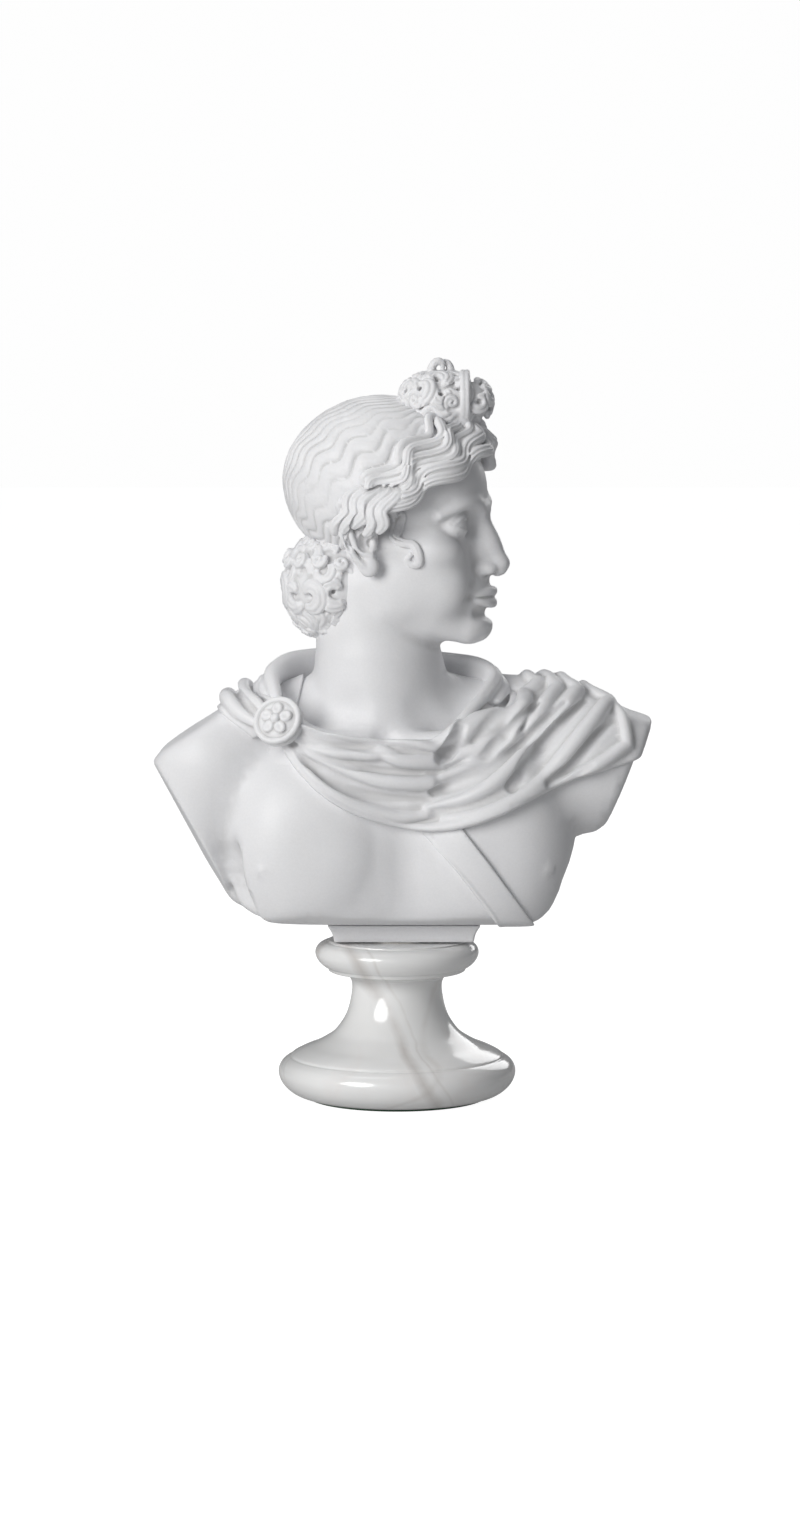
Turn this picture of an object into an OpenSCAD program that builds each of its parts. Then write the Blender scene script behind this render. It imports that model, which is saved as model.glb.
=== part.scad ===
// A half-life-size marble bust on a turned socle: a youth in a brooched cloak, head turned to his left.
// Origin: centre of the felt's underside. +Z is up and -Y is the front of the chest. Millimetres.

/* [Socle] */
// Widest diameter of the foot
foot_d = 119; // [112:1:126]
// Height of the turned socle above the felt
socle_h = 78.5; // [76:0.5:82]
// Diameter of the waist
waist_d = 44.6; // [40:0.2:48]
// Diameter of the ring under the bust
collar_d = 82; // [78:1:86]
// Thickness of the felt
felt_t = 1.5; // [1:0.5:2]

/* [Block under the bust] */
// Width of the block
block_w = 69; // [64:1:72]
// Depth of the block
block_d = 40; // [36:1:44]
// Height of the block
block_h = 8; // [6:0.5:10]
// Offset of the block's centre from the socle's axis
block_x = 3.5; // [0:0.5:5]

/* [Torso and neck] */
// Reach of the cut right arm from the axis
arm_right = 122; // [116:1:126]
// Reach of the cut left arm from the axis
arm_left = 124; // [116:1:128]
// Depth of the chest in front of the axis
chest_front = 46; // [42:1:50]
// Depth of the back behind the axis
chest_back = 42; // [38:1:46]
// Radius of the neck under the jaw
neck_r = 27; // [25:0.5:29]

/* [Head] */
// Size of the head as a share of life size
head_scale = 0.51; // [0.49:0.01:0.53]
// Turn of the face towards the front, from looking along +X
face_turn = 14; // [5:1:25]
// Height of the point between the ears
ear_z = 283; // [280:1:286]
// Thickness of the combed hair
hair_t = 4.5; // [3.5:0.5:5.5]

/* [Cloak] */
// Fold radius beside the brooch
fold_near = 3.2; // [2.8:0.2:3.8]
// Fold radius on the left shoulder
fold_far = 8; // [7:0.5:8.5]
// Diameter of the brooch
brooch_d = 25; // [22:1:28]
// Width of the strap across the chest
strap_w = 22; // [18:1:25]

/* [Fixings] */
// Diameter of the stud
stud_d = 6; // [5:0.5:6]
// Diameter of the hole through the socle
stud_hole_d = 6.1; // [6.1:0.1:9]
// Diameter of the recess for the nut
recess_d = 24; // [20:1:28]
// Depth of the recess for the nut
recess_h = 13; // [11:1:16]

/* [Hidden] */

marble = [0.93, 0.93, 0.94];
veined = [0.9, 0.89, 0.87];
steel = [0.6, 0.61, 0.63];
brass = [0.75, 0.62, 0.33];
felt = [0.16, 0.2, 0.17];
bedding = [0.55, 0.54, 0.52];

sides = 48;             // points round every lofted ring
socle_top = felt_t + socle_h;
run_gap = 0.1;          // gap between the socle and what turns on it
bed_t = 0.5;            // bedding ring between socle and block
block_z = socle_top + run_gap + bed_t;
torso_z = block_z + block_h;

// ---------- shared shapes ----------

function smooth(t) = t * t * (3 - 2 * t);
function blend(a, b, t) = a + (b - a) * t;
function quad_curve(a, b, c, t) = (1 - t) * (1 - t) * a + 2 * t * (1 - t) * b + t * t * c;
function bump(d, width) = exp(-d * d / (width * width));
function unit(v) = v / norm(v);

// A closed solid through rings of points, an even number in each, that run anticlockwise seen from the last
// ring's side. The first few bands can have their diagonals turned, to lie exactly on another solid that was
// lofted the other way.
module loft(rings, turned = 0) {
    n = len(rings[0]);
    bands = len(rings) - 1;
    last = bands * n;
    function quad(j, i) = let (k = (i + 1) % n, low = j * n, high = low + n)
        j < turned ? [[low + i, high + i, low + k], [high + i, high + k, low + k]]
                   : [[low + i, high + i, high + k], [low + i, high + k, low + k]];
    // The end faces are strips across the ring, so that a ring folded like cloth closes too.
    function strip(i) = [[i, i + 1, n - 2 - i], [i, n - 2 - i, n - 1 - i]];
    first_cap = [for (i = [0 : n / 2 - 2]) each strip(i)];
    polyhedron(
        points = [for (ring = rings) each ring],
        faces = concat(
            first_cap,
            [for (j = [0 : bands - 1], i = [0 : n - 1]) each quad(j, i)],
            [for (f = first_cap) [last + f[0], last + f[2], last + f[1]]]));
}

// Balls joined along a path, the n-th of radius radii[n].
module strand(path, radii, fn = 8) {
    for (i = [0 : len(path) - 2])
        hull() {
            translate(path[i]) sphere(r = radii[i], $fn = fn);
            translate(path[i + 1]) sphere(r = radii[i + 1], $fn = fn);
        }
}

// ---------- socle and fixings ----------

module socle_profile() {
    foot_r = foot_d / 2;
    bead = 11;                      // half the height of the rounded foot
    collar_bead = 7;
    waist_z = 52.5;
    cove = 33.5;                    // the long cove from the waist down to the foot
    throat = 8.9;                   // the short cove from the waist up to the collar
    difference() {
        union() {
            square([foot_r - bead, 2 * bead]);
            translate([foot_r - bead, bead]) circle(r = bead);
            translate([0, bead]) square([foot_r - 8, bead + 0.6]);
            polygon([[0, 21], [foot_r - 8.6, 21], [foot_r - 8.6, 22.2], [foot_r - 15, 24.4], [36, 27.6], [0, 30]]);
            translate([0, 25]) square([waist_d / 2 + 12, 40]);
            translate([0, waist_z + throat - 0.4]) square([collar_d / 2 - 7.6, socle_h - waist_z - throat]);
            translate([collar_d / 2 - collar_bead, 70.5]) circle(r = collar_bead);
            square([collar_d / 2 - 6.6, socle_h]);
        }
        translate([waist_d / 2 + cove, waist_z]) circle(r = cove);
        translate([waist_d / 2 + throat, waist_z]) circle(r = throat);
        translate([waist_d / 2 + 2 * throat, 30]) square([cove, waist_z - 30]);
        translate([waist_d / 2 + throat, waist_z - 1]) square([cove, throat + 1]);
    }
}

module socle() {
    color(veined)
        translate([0, 0, felt_t])
            difference() {
                rotate_extrude($fn = 96) socle_profile();
                translate([0, 0, -1]) cylinder(d = stud_hole_d, h = socle_h + 2, $fn = 48);
                translate([0, 0, -1]) cylinder(d = recess_d, h = recess_h + 1, $fn = 48);
            }
}

module felt_pad() {
    color(felt) cylinder(d = foot_d - 30, h = felt_t, $fn = 96);
}

module bedding_ring() {
    color(bedding)
        translate([0, 0, socle_top + run_gap])
            difference() {
                cylinder(d = 36, h = bed_t, $fn = 64);
                translate([0, 0, -1]) cylinder(d = stud_d, h = bed_t + 2, $fn = 48);
            }
}

sleeve_d = 11;
sleeve_z = block_z + 2;
sleeve_h = 26;
stud_z = 4;
stud_h = sleeve_z + sleeve_h - 2 - stud_z;
nut_z = 6;
nut_h = 5;
nut_d = 11.5;                       // across the corners
washer_z = felt_t + recess_h - run_gap - 1.6;

module stud() {
    color(steel) translate([0, 0, stud_z]) cylinder(d = stud_d, h = stud_h, $fn = 48);
}

module anchor_sleeve() {
    color(brass)
        translate([0, 0, sleeve_z])
            difference() {
                union() {
                    cylinder(d = sleeve_d - 1, h = sleeve_h, $fn = 48);
                    for (z = [3 : 6 : 21])
                        translate([0, 0, z]) cylinder(d = sleeve_d, h = 3, $fn = 48);
                }
                translate([0, 0, -1]) cylinder(d = stud_d, h = sleeve_h - 1, $fn = 48);
            }
}

module washer() {
    color(steel)
        translate([0, 0, washer_z])
            difference() {
                cylinder(d = recess_d - 4, h = 1.6, $fn = 64);
                translate([0, 0, -1]) cylinder(d = stud_d + 0.4, h = 4, $fn = 48);
            }
}

module spring_washer() {
    h = washer_z - nut_z - nut_h;
    color(steel)
        translate([0, 0, washer_z - h])
            difference() {
                cylinder(d = stud_d + 6, h = h, $fn = 64);
                translate([0, 0, -1]) cylinder(d = stud_d + 0.4, h = h + 2, $fn = 48);
                translate([stud_d / 2, -0.6, -1]) cube([6, 1.2, h + 2]);
            }
}

module nut() {
    color(steel)
        translate([0, 0, nut_z])
            difference() {
                cylinder(d = nut_d, h = nut_h, $fn = 6);
                translate([0, 0, -1]) cylinder(d = stud_d, h = nut_h + 2, $fn = 48);
            }
}

module plinth_block() {
    cove = 3.5;
    color(marble)
        difference() {
            translate([block_x - block_w / 2 - cove, -block_d / 2, block_z])
                cube([block_w + 2 * cove, block_d, block_h]);
            for (side = [-1, 1])
                translate([block_x + side * (block_w / 2 + cove), 0, torso_z - cove]) {
                    rotate([90, 0, 0]) cylinder(r = cove, h = block_d + 2, center = true, $fn = 48);
                    translate([0, 0, -block_h / 2]) cube([2 * cove, block_d + 2, block_h], center = true);
                }
            translate([0, 0, block_z - 1]) cylinder(d = stud_d + 1, h = 4, $fn = 48);
            translate([0, 0, sleeve_z]) cylinder(d = sleeve_d + 0.2, h = block_h, $fn = 48);
        }
}

// ---------- torso and neck ----------

// Outline of the truncated chest against height: right side, left side, front and back.
right_edge = [[0, 31], [2.5, 56], [7.5, 75], [14.5, 86], [31, 96], [56, 110], [78, arm_right], [88, 117],
    [98, 100], [106, 74], [112, 48]];
left_edge = [[0, 40], [2.5, 60], [9.5, 73], [19.5, 79], [28.5, 81], [40.5, 88], [57.5, 101], [76, 112],
    [91, 120], [100, arm_left], [106, 108], [109, 80], [112, 32]];
front_edge = [[0, chest_front - 14], [8, chest_front - 8], [25, chest_front - 3], [50, chest_front],
    [80, chest_front - 3], [100, chest_front - 12], [112, 27]];
back_edge = [[0, 22], [8, 27], [40, chest_back - 6], [75, chest_back], [100, chest_back - 2], [112, 35]];
neck_top_z = ear_z - 38;
torso_h = 112;

function left_lift(h) = lookup(h, [[90, 0], [100, 0.02], [106, 0.07], [112, 0.2]]);
function power(v, p) = sign(v) * pow(abs(v), p);

// How far the breasts stand out of the plain chest, and the breastbone's groove between them.
function breast(x, h) = 5 * bump(abs(x + 3) - 38, 26) * bump(h - 52, 24) - 3 * bump(x + 1, 9) * bump(h - 50, 34);

// A point of the chest's outline at height h above the torso's underside, at angle a.
function torso_point(h, a) = let (
        flat = blend(0.78, 1, smooth(h / torso_h)),
        c = power(cos(a), flat),
        s = power(sin(a), flat),
        x = c * lookup(h, c < 0 ? right_edge : left_edge),
        y = s * lookup(h, s < 0 ? front_edge : back_edge) + (s < 0 ? s * breast(x, h) : 0))
    [x, y, torso_z + h + left_lift(h) * max(0, x)];

function ring_angles() = [for (i = [0 : sides - 1]) 360 * i / sides];
function torso_ring(h) = [for (a = ring_angles()) torso_point(h, a)];

torso_heights = [0, 2.5, 7, 13, 19, 26, 33, 40, 48, 56, 64, 71, 78, 84, 90, 95, 100, 104, 107, 109.5, 112];

module torso_solid() {
    loft([for (h = torso_heights) torso_ring(h)]);
}

module torso() {
    bore_h = sleeve_z + sleeve_h - torso_z + 1.5;
    color(marble)
        difference() {
            torso_solid();
            translate([0, 0, torso_z - 1]) cylinder(d = sleeve_d + 0.2, h = bore_h, $fn = 48);
        }
}

neck_x = -8;
neck_y = -1;
neck_rows = 8;
function neck_seat() = [for (a = ring_angles()) [neck_x + neck_r * cos(a), neck_y + neck_r * sin(a), neck_top_z]];
function neck_ring(t) = let (low = torso_ring(torso_h), high = neck_seat(), k = 1 - pow(1 - t, 2.4))
    [for (i = [0 : sides - 1]) [blend(low[i].x, high[i].x, k), blend(low[i].y, high[i].y, k),
        blend(low[i].z, high[i].z, t)]];

module neck_solid() {
    loft([for (j = [0 : neck_rows]) neck_ring(j / neck_rows)]);
}

module neck() {
    color(marble) neck_solid();
}

// ---------- head ----------

// Directions of the face in the object's frame: forward, and to the figure's left.
forward = [cos(face_turn), -sin(face_turn), 0];
leftward = [sin(face_turn), cos(face_turn), 0];
ear_middle = [-4.6, -2, ear_z];     // the point between the ears

// A place given in life-size millimetres forward, left and up from the point between the ears.
function at_head(p) = ear_middle + head_scale * (p.x * forward + p.y * leftward + [0, 0, p.z]);
function head_dir(d) = [d * forward, d * leftward, d.z];

ray_centre = [15, 0, 10];           // life-size, like the balls below

// Ellipsoids that make the head: [centre, radii], in life-size millimetres.
head_balls = [
    [[-2, 0, 50], [93, 73, 78]],    // skull
    [[40, 0, -10], [54, 62, 80]],   // face
    [[15, 0, -48], [48, 52, 42]],   // corners of the jaw
    [[50, 0, -60], [47, 38, 40]],   // front of the jaw
    [[77, 0, -81], [22, 27, 19]],   // chin
    [[93, 0, 12], [8, 9, 22]],      // bridge
    [[98, 0, -8], [12, 10, 20]],    // middle of the nose
    [[103, 0, -22], [14, 13, 12]],  // tip
    [[88, 17, 27], [9, 22, 9]],     // brows
    [[88, -17, 27], [9, 22, 9]],
    [[86, 0, -51], [15, 20, 8]],    // lips
    [[85, 0, -64], [15, 17, 8]],
    [[-30, 0, -22], [46, 52, 48]]]; // nape

eye_balls = [[[70, 32, 13], [17, 15, 13]], [[70, -32, 13], [17, 15, 13]]];

// How far an ellipsoid reaches along a direction from the ray centre.
function reach(d, ball) = let (
        m = ray_centre - ball[0],
        r = ball[1],
        dr = [d.x / r.x, d.y / r.y, d.z / r.z],
        mr = [m.x / r.x, m.y / r.y, m.z / r.z],
        a = dr * dr,
        b = dr * mr,
        q = b * b - a * (mr * mr - 1))
    q < 0 ? 0 : max(0, (sqrt(q) - b) / a);

function sum_of(v, i = 0) = i < len(v) ? v[i] + sum_of(v, i + 1) : 0;
function joined_reach(d) = pow(sum_of([for (ball = head_balls) pow(reach(d, ball) / 100, 30)]), 1 / 30) * 100;
function socket(d) = let (across = atan2(abs(d.y), d.x), up = asin(d.z)) 7 * bump(across - 24, 10) * bump(up - 1, 8);
function head_reach(d) = max(joined_reach(d) - socket(d), reach(d, eye_balls[0]), reach(d, eye_balls[1]));

// Angles from straight down, against the angle round from straight ahead: the jaw's line and the hairline.
function jaw_line(round) = lookup(abs(round), [[0, 30], [40, 34], [80, 42], [120, 50], [180, 60]]);
function hairline(round) = lookup(abs(round),
    [[0, 126], [25, 124], [45, 117], [70, 100], [95, 86], [125, 68], [180, 62]]);

columns = 48;
low_rows = 23;
high_rows = 8;
crown_angle = 175;

// Columns of points round the head, closer together at the face.
function column(i) = let (u = 2 * i / columns - 1) 180 * (0.35 * u + 0.65 * power(u, 1.8));
function row_angle(round, j) = let (line = hairline(round))
    j <= low_rows ? blend(jaw_line(round), line, j / low_rows) : blend(line, crown_angle, (j - low_rows) / high_rows);
function head_ray(round, down) = let (a = round - face_turn) [cos(a) * sin(down), sin(a) * sin(down), -cos(down)];

// A place on the head along a ray, lifted off it by some millimetres.
function on_head(d, lift = 0) = at_head(ray_centre) + (head_reach(head_dir(d)) * head_scale + lift) * d;
function head_ring(j, lift = 0) = [for (i = [0 : columns - 1]) let (round = column(i))
    on_head(head_ray(round, row_angle(round, j)), lift)];
function head_seat() = [for (i = [0 : columns - 1]) let (a = column(i) - face_turn)
    [neck_x + neck_r * cos(a), neck_y + neck_r * sin(a), neck_top_z]];

module head_solid() {
    loft(concat([head_seat()], [for (j = [0 : low_rows + high_rows]) head_ring(j)]));
}

module head() {
    color(marble) head_solid();
}

module ear_solid(side) {
    rim = [for (i = [0 : 8]) let (a = 30 + 33 * i)
        at_head([-7 + 15 * cos(a), side * (70 - 6 * cos(a)), -2 + 27 * sin(a)])];
    strand(rim, [for (i = [0 : 8]) 2.3 + 0.1 * i]);
    hull()
        for (i = [0, 4, 8]) translate(rim[i]) sphere(r = 1.6, $fn = 8);
}

module ear(side) {
    color(marble)
        difference() {
            ear_solid(side);
            head_solid();
            hair_cap_solid();
            hair_roll_solid(side);
        }
}

// ---------- hair ----------

module hair_cap_solid() {
    rows = [low_rows : low_rows + high_rows];
    loft(concat(
        [for (j = [low_rows + high_rows : -1 : low_rows]) head_ring(j)],
        [for (j = rows) head_ring(j, hair_t * (0.45 + 0.55 * min(1, (j - low_rows) / 2)))]), high_rows);
}

module hair_cap() {
    color(marble) hair_cap_solid();
}

roll_steps = 24;
roll_points = 14;
lock_steps = 12;                    // pieces along a single lock
locks = 5;                          // wavy locks twisted together in a roll

// A place on the roll of locks, side -1 on the figure's right: t runs from over the brow to behind the ear, and
// a runs round the roll.
function roll_place(side, t, a, lift = 0) = let (
        round = side * blend(5, 124, t),
        down = hairline(round) + 11 + 1.5 * sin(1400 * t),
        out = head_ray(round, down),
        up = unit(head_ray(round, down + 4) - out),
        size = 0.35 + 0.65 * pow(sin(180 * blend(0.06, 0.9, t)), 0.4),
        lobe = 1 + 0.12 * cos(locks * a + 900 * t))
    on_head(out, 2) + (size * lobe + lift / 10) * (12.5 * cos(a) * up + side * 7 * sin(a) * out);

module hair_roll_solid(side) {
    loft([for (j = [0 : roll_steps])
        [for (i = [0 : roll_points - 1]) roll_place(side, j / roll_steps, 360 * i / roll_points)]]);
    for (k = [0 : 1])
        strand([for (j = [1 : lock_steps]) let (t = j / (lock_steps + 1))
            roll_place(side, t, side * (30 + 55 * k) + 30 * sin(900 * t + 90 * k), -0.4)],
            [for (j = [1 : lock_steps]) 2.6], 6);
}

module hair_roll(side) {
    color(marble)
        difference() {
            hair_roll_solid(side);
            head_solid();
            hair_cap_solid();
        }
}

// A curl that winds inwards in the plane of two directions.
curl_steps = 8;
function curl(centre, across, up, start_r, turns, from) = [for (i = [0 : curl_steps]) let (
        t = i / curl_steps, r = start_r * (1 - 0.75 * t), a = from + 360 * turns * t)
    centre + r * (cos(a) * across + sin(a) * up)];

knot = [60, 19, 132];               // middle of a bow of the topknot, life-size
bow_curls = 5;
module topknot_solid() {
    for (side = [-1, 1]) {
        translate(at_head([knot.x, side * knot.y, knot.z]))
            scale([15, 10, 12]) sphere(r = 1, $fn = 20);
        for (k = [0 : bow_curls - 1]) {
            round = 50 * k - 10;
            strand(curl(at_head([knot.x + 27 * cos(round), side * (knot.y + 8), knot.z + 20 * sin(round)]),
                forward, unit([0.5 * side * leftward.x, 0.5 * side * leftward.y, 1]), 8, 1.2, round),
                [for (i = [0 : curl_steps]) 4.4 - 0.15 * i], 6);
        }
    }
}

module topknot() {
    color(marble)
        difference() {
            topknot_solid();
            head_solid();
            hair_cap_solid();
            hair_roll_solid(-1);
            hair_roll_solid(1);
        }
}

nape_steps = 8;
module nape_curls_solid() {
    for (side = [-1, 1], k = [0 : 3]) {
        path = [for (i = [0 : nape_steps]) let (t = i / nape_steps)
            at_head([-46 - 13 * k - 9 * sin(400 * t + 60 * k) - 8 * t,
                side * (60 - 17 * k + 6 * cos(300 * t)),
                -8 - 8 * k - (74 - 4 * k) * t])];
        strand(path, [for (i = [0 : nape_steps]) 7.4 - 0.3 * i], 6);
    }
}

module nape_curls() {
    color(marble)
        difference() {
            nape_curls_solid();
            head_solid();
            neck_solid();
            hair_cap_solid();
            hair_roll_solid(-1);
            hair_roll_solid(1);
            ear_solid(-1);
            ear_solid(1);
        }
}

module temple_curl(side) {
    color(marble)
        difference() {
            strand([for (i = [0 : 10]) let (t = i / 10)
                at_head([30 + 7 * sin(400 * t), side * (65 - 4 * t), 32 - 46 * t])],
                [for (i = [0 : 10]) 3]);
            head_solid();
            hair_cap_solid();
            hair_roll_solid(side);
            ear_solid(side);
        }
}

// ---------- cloak, brooch and strap ----------

brooch_at = [-58, -37, 194];
brooch_axis = [-0.32, -0.84, 0.44];

// Depth of the chest's front, or of its back, under a place in the front view.
function chest_y(x, z, back = false) = let (
        h = min(torso_h, max(0, z - torso_z - left_lift(z - torso_z) * max(0, x))),
        half = lookup(h, x < 0 ? right_edge : left_edge),
        share = min(1, abs(x) / half),
        flat = blend(0.78, 1, smooth(h / torso_h)),
        s = pow(max(0, 1 - pow(share, 2 / flat)), flat / 2))
    back ? s * lookup(h, back_edge) : -s * (lookup(h, front_edge) + breast(x, h));

seam_y = 2;                         // the upright plane over the left shoulder where front and back cloths meet
cloth_t = 2.5;
cloth_seat = 4;                     // how deep a cloth's inner face lies in the body before the body is cut away
ridge_steps = 4;                    // points across one fold

// Lifts a place off the body: sideways low down, and more and more upwards above the armpits.
function off_body(b, lift) = b + lift * unit(b - [0.8 * b.x, seam_y, min(b.z, 172)]);

// A folded cloth from rows of places on the body. Each row runs across the folds, from edge to edge.
function cloth_ring(row, folds, height) = let (n = len(row) - 1) concat(
    [for (i = [0 : n]) off_body(row[i], cloth_t + height * pow(abs(sin(180 * folds * i / n)), 0.8))],
    [for (i = [n : -1 : 0]) off_body(row[i], -cloth_seat)]);

front_folds = 7;
front_steps = 15;
function shoulder_line(v) = [blend(42, 110, v), 0, blend(208, 202, v)];
function front_place(u, v) = let (
        start = [blend(-48, -62, v), 0, blend(196, 184, v)],
        low = [blend(4, 12, v), 0, blend(160, 84, v)],
        p = quad_curve(start, low, shoulder_line(v), u))
    [p.x, u < 1 ? min(seam_y, chest_y(p.x, p.z)) : seam_y, p.z];
function front_row(u) = let (n = front_folds * ridge_steps) [for (i = [0 : n]) front_place(u, i / n)];

// Steps along a cloth, closer together at the shoulder.
function to_shoulder(t) = 1 - pow(1 - t, 1.4);

module cloak_front_solid() {
    loft([for (j = [0 : front_steps]) let (u = to_shoulder(j / front_steps))
        cloth_ring(front_row(u), front_folds, blend(fold_near, fold_far, smooth(u)))]);
    strand([for (j = [0 : front_steps - 1]) off_body(front_place(to_shoulder(j / front_steps), 1), 1)],
        [for (j = [0 : front_steps - 1]) blend(2.4, 4, j / front_steps)], 6);
}

module brooch_seat() {
    turn_to(brooch_at, brooch_axis) translate([0, 0, -12]) cylinder(d = brooch_d + 0.2, h = 30, $fn = 48);
}

module cloak_front() {
    color(marble)
        difference() {
            cloak_front_solid();
            torso_solid();
            neck_solid();
            brooch_seat();
        }
}

back_steps = 11;
function back_place(u, v) = let (
        low = [blend(10, 88, v), 0, blend(214, 172, v)],
        end = [blend(-70, 30, v), 0, blend(176, 98, v)],
        p = quad_curve(shoulder_line(v), low, end, u))
    [p.x, u > 0 ? max(seam_y, chest_y(p.x, p.z, true)) : seam_y, p.z];
function back_row(u) = let (n = front_folds * ridge_steps) [for (i = [0 : n]) back_place(u, i / n)];

module cloak_back_solid() {
    loft([for (j = [0 : back_steps]) let (u = 1 - to_shoulder(1 - j / back_steps))
        cloth_ring(back_row(u), front_folds, blend(fold_far, fold_far - 2, u))]);
    strand([for (j = [1 : back_steps]) off_body(back_place(j / back_steps, 1), 1)],
        [for (j = [1 : back_steps]) 4], 6);
}

module cloak_back() {
    color(marble)
        difference() {
            cloak_back_solid();
            torso_solid();
            neck_solid();
        }
}

// The cloth's edge round the back of the neck.
module neck_fold_solid() {
    strand([for (i = [0 : 10]) let (a = blend(18, 172, i / 10))
        [-6 + 49 * cos(a), 3 + 34 * sin(a), 211 + 4 * sin(a) - 5 * i / 10]],
        [for (i = [0 : 10]) 7.5], 10);
}

module neck_fold() {
    color(marble)
        difference() {
            neck_fold_solid();
            torso_solid();
            neck_solid();
            cloak_front_solid();
            cloak_back_solid();
        }
}

pleat_folds = 3;
pleat_steps = 10;
function pleat_place(u, v) = quad_curve([blend(-50, -68, v), -37, blend(196, 190, v)],
    [blend(-56, -84, v), -8, blend(220, 212, v)], [blend(-52, -84, v), 30, blend(204, 192, v)], u);
function pleat_row(u) = let (n = pleat_folds * ridge_steps) [for (i = [n : -1 : 0]) pleat_place(u, i / n)];

module shoulder_pleats_solid() {
    loft([for (j = [0 : pleat_steps]) let (u = j / pleat_steps)
        cloth_ring(pleat_row(u), pleat_folds, fold_near + 1.5 * u)]);
}

module shoulder_pleats() {
    color(marble)
        difference() {
            shoulder_pleats_solid();
            torso_solid();
            neck_solid();
            cloak_front_solid();
            cloak_back_solid();
            neck_fold_solid();
            brooch_seat();
        }
}

// Places its children with +Z along an axis.
module turn_to(place, axis) {
    translate(place) rotate([0, acos(axis.z / norm(axis)), atan2(axis.y, axis.x)]) children();
}

module brooch() {
    petals = 5;
    color(marble)
        turn_to(brooch_at, brooch_axis) {
            translate([0, 0, -3]) cylinder(d = brooch_d, h = 10, $fn = 64);
            translate([0, 0, 7]) rotate_extrude($fn = 64) translate([brooch_d / 2 - 1.8, 0]) circle(r = 1.8, $fn = 32);
            translate([0, 0, 6]) cylinder(r = 2.4, h = 3, $fn = 32);
            for (i = [0 : petals - 1])
                rotate([0, 0, 360 / petals * i]) translate([brooch_d * 0.24, 0, 6]) cylinder(r = 3, h = 2, $fn = 32);
        }
}

// The strap runs from under the cloak's hem down to the cut under the left breast.
strap_steps = 9;
strap_from = [18, 139.5];
strap_to = [53, torso_z + 10];
module baldric() {
    along = unit(strap_to - strap_from);
    across = [-along.y, along.x];
    function strap_place(j, w) = let (p = blend(strap_from, strap_to, j / strap_steps) + w * strap_w / 2 * across)
        [p.x, chest_y(p.x, p.y), p.y];
    rings = [for (j = [0 : strap_steps]) concat(
        [for (w = [1 : -0.25 : -1]) off_body(strap_place(j, w), 2.4)],
        [for (w = [-1 : 0.25 : 1]) off_body(strap_place(j, w), -cloth_seat)])];
    edge = [for (j = [0 : strap_steps]) off_body(strap_place(j, -0.8), 2.2)];
    color(marble)
        difference() {
            union() {
                loft(rings);
                strand(edge, [for (p = edge) 1.2]);
            }
            torso_solid();
            cloak_front_solid();
        }
}

socle();
felt_pad();
bedding_ring();
plinth_block();
torso();
neck();
head();
ear(-1);  // ear_right
ear(1);  // ear_left
hair_cap();
hair_roll(-1);  // hair_roll_right
hair_roll(1);  // hair_roll_left
topknot();
nape_curls();
temple_curl(-1);  // temple_curl_right
temple_curl(1);  // temple_curl_left
cloak_front();
cloak_back();
neck_fold();
shoulder_pleats();
brooch();
baldric();
stud();
anchor_sleeve();
washer();
spring_washer();
nut();
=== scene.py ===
"""The looks of the marble bust: a carved bust on a turned socle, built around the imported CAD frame.

The bust is sculpted as clay: each Clay is a grid of distances in mm, shapes are added and carved with soft
joints, and its skin becomes a mesh. The head and its hair are modelled life size in the head's own frame
(forward, leftward, upward from between the ears) and set down at HEAD_SCALE.
"""
import math

import bmesh
import bpy
import numpy as np
import openvdb as vdb
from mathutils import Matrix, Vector


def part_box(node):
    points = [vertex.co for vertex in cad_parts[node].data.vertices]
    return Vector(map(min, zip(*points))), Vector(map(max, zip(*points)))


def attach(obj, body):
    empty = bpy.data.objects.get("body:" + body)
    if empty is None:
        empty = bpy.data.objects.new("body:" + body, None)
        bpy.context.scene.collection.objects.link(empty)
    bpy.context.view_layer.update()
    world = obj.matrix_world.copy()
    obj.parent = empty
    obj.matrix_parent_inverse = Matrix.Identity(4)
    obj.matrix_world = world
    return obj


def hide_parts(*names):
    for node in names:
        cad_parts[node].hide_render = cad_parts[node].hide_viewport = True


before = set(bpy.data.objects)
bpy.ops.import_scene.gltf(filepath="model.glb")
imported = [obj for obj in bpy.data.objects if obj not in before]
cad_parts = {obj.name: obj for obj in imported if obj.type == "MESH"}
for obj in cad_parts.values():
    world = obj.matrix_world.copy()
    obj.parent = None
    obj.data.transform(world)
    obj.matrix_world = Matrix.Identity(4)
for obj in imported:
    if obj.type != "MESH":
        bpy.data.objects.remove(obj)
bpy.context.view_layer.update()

MM = 0.001
COARSE = 1.0
FAR = 40.0
LAND_STEPS, HIT_STEPS = 10, 160
CAST_ADAPT = 0.1
SIDES = -1, 1


def V(*p):
    return np.array(p, float)


def unit(v):
    return np.array(v, float) / np.linalg.norm(v)


def units(rows, least=0):
    """Each row scaled to length 1."""
    return rows / (np.linalg.norm(rows, axis=1)[:, None] + least)


# ---------------------------------------------------------------- camera
VIEW_TILT = math.radians(6)
VIEW_AIM = V(1.5, 0, 172)
VIEW_DISTANCE = 2500
VIEW_LENS, VIEW_SENSOR = 119, 36
EYE = VIEW_AIM + VIEW_DISTANCE * V(0, -math.cos(VIEW_TILT), math.sin(VIEW_TILT))


def link(name, data):
    thing = bpy.data.objects.new(name, data)
    bpy.context.scene.collection.objects.link(thing)
    return thing


def aimed(data, place, way):
    """A camera or lamp at a place, facing a way."""
    thing = link(data.name, data)
    thing.location = Vector(place)
    thing.rotation_euler = way.to_track_quat("-Z", "Y").to_euler()
    return thing


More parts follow.
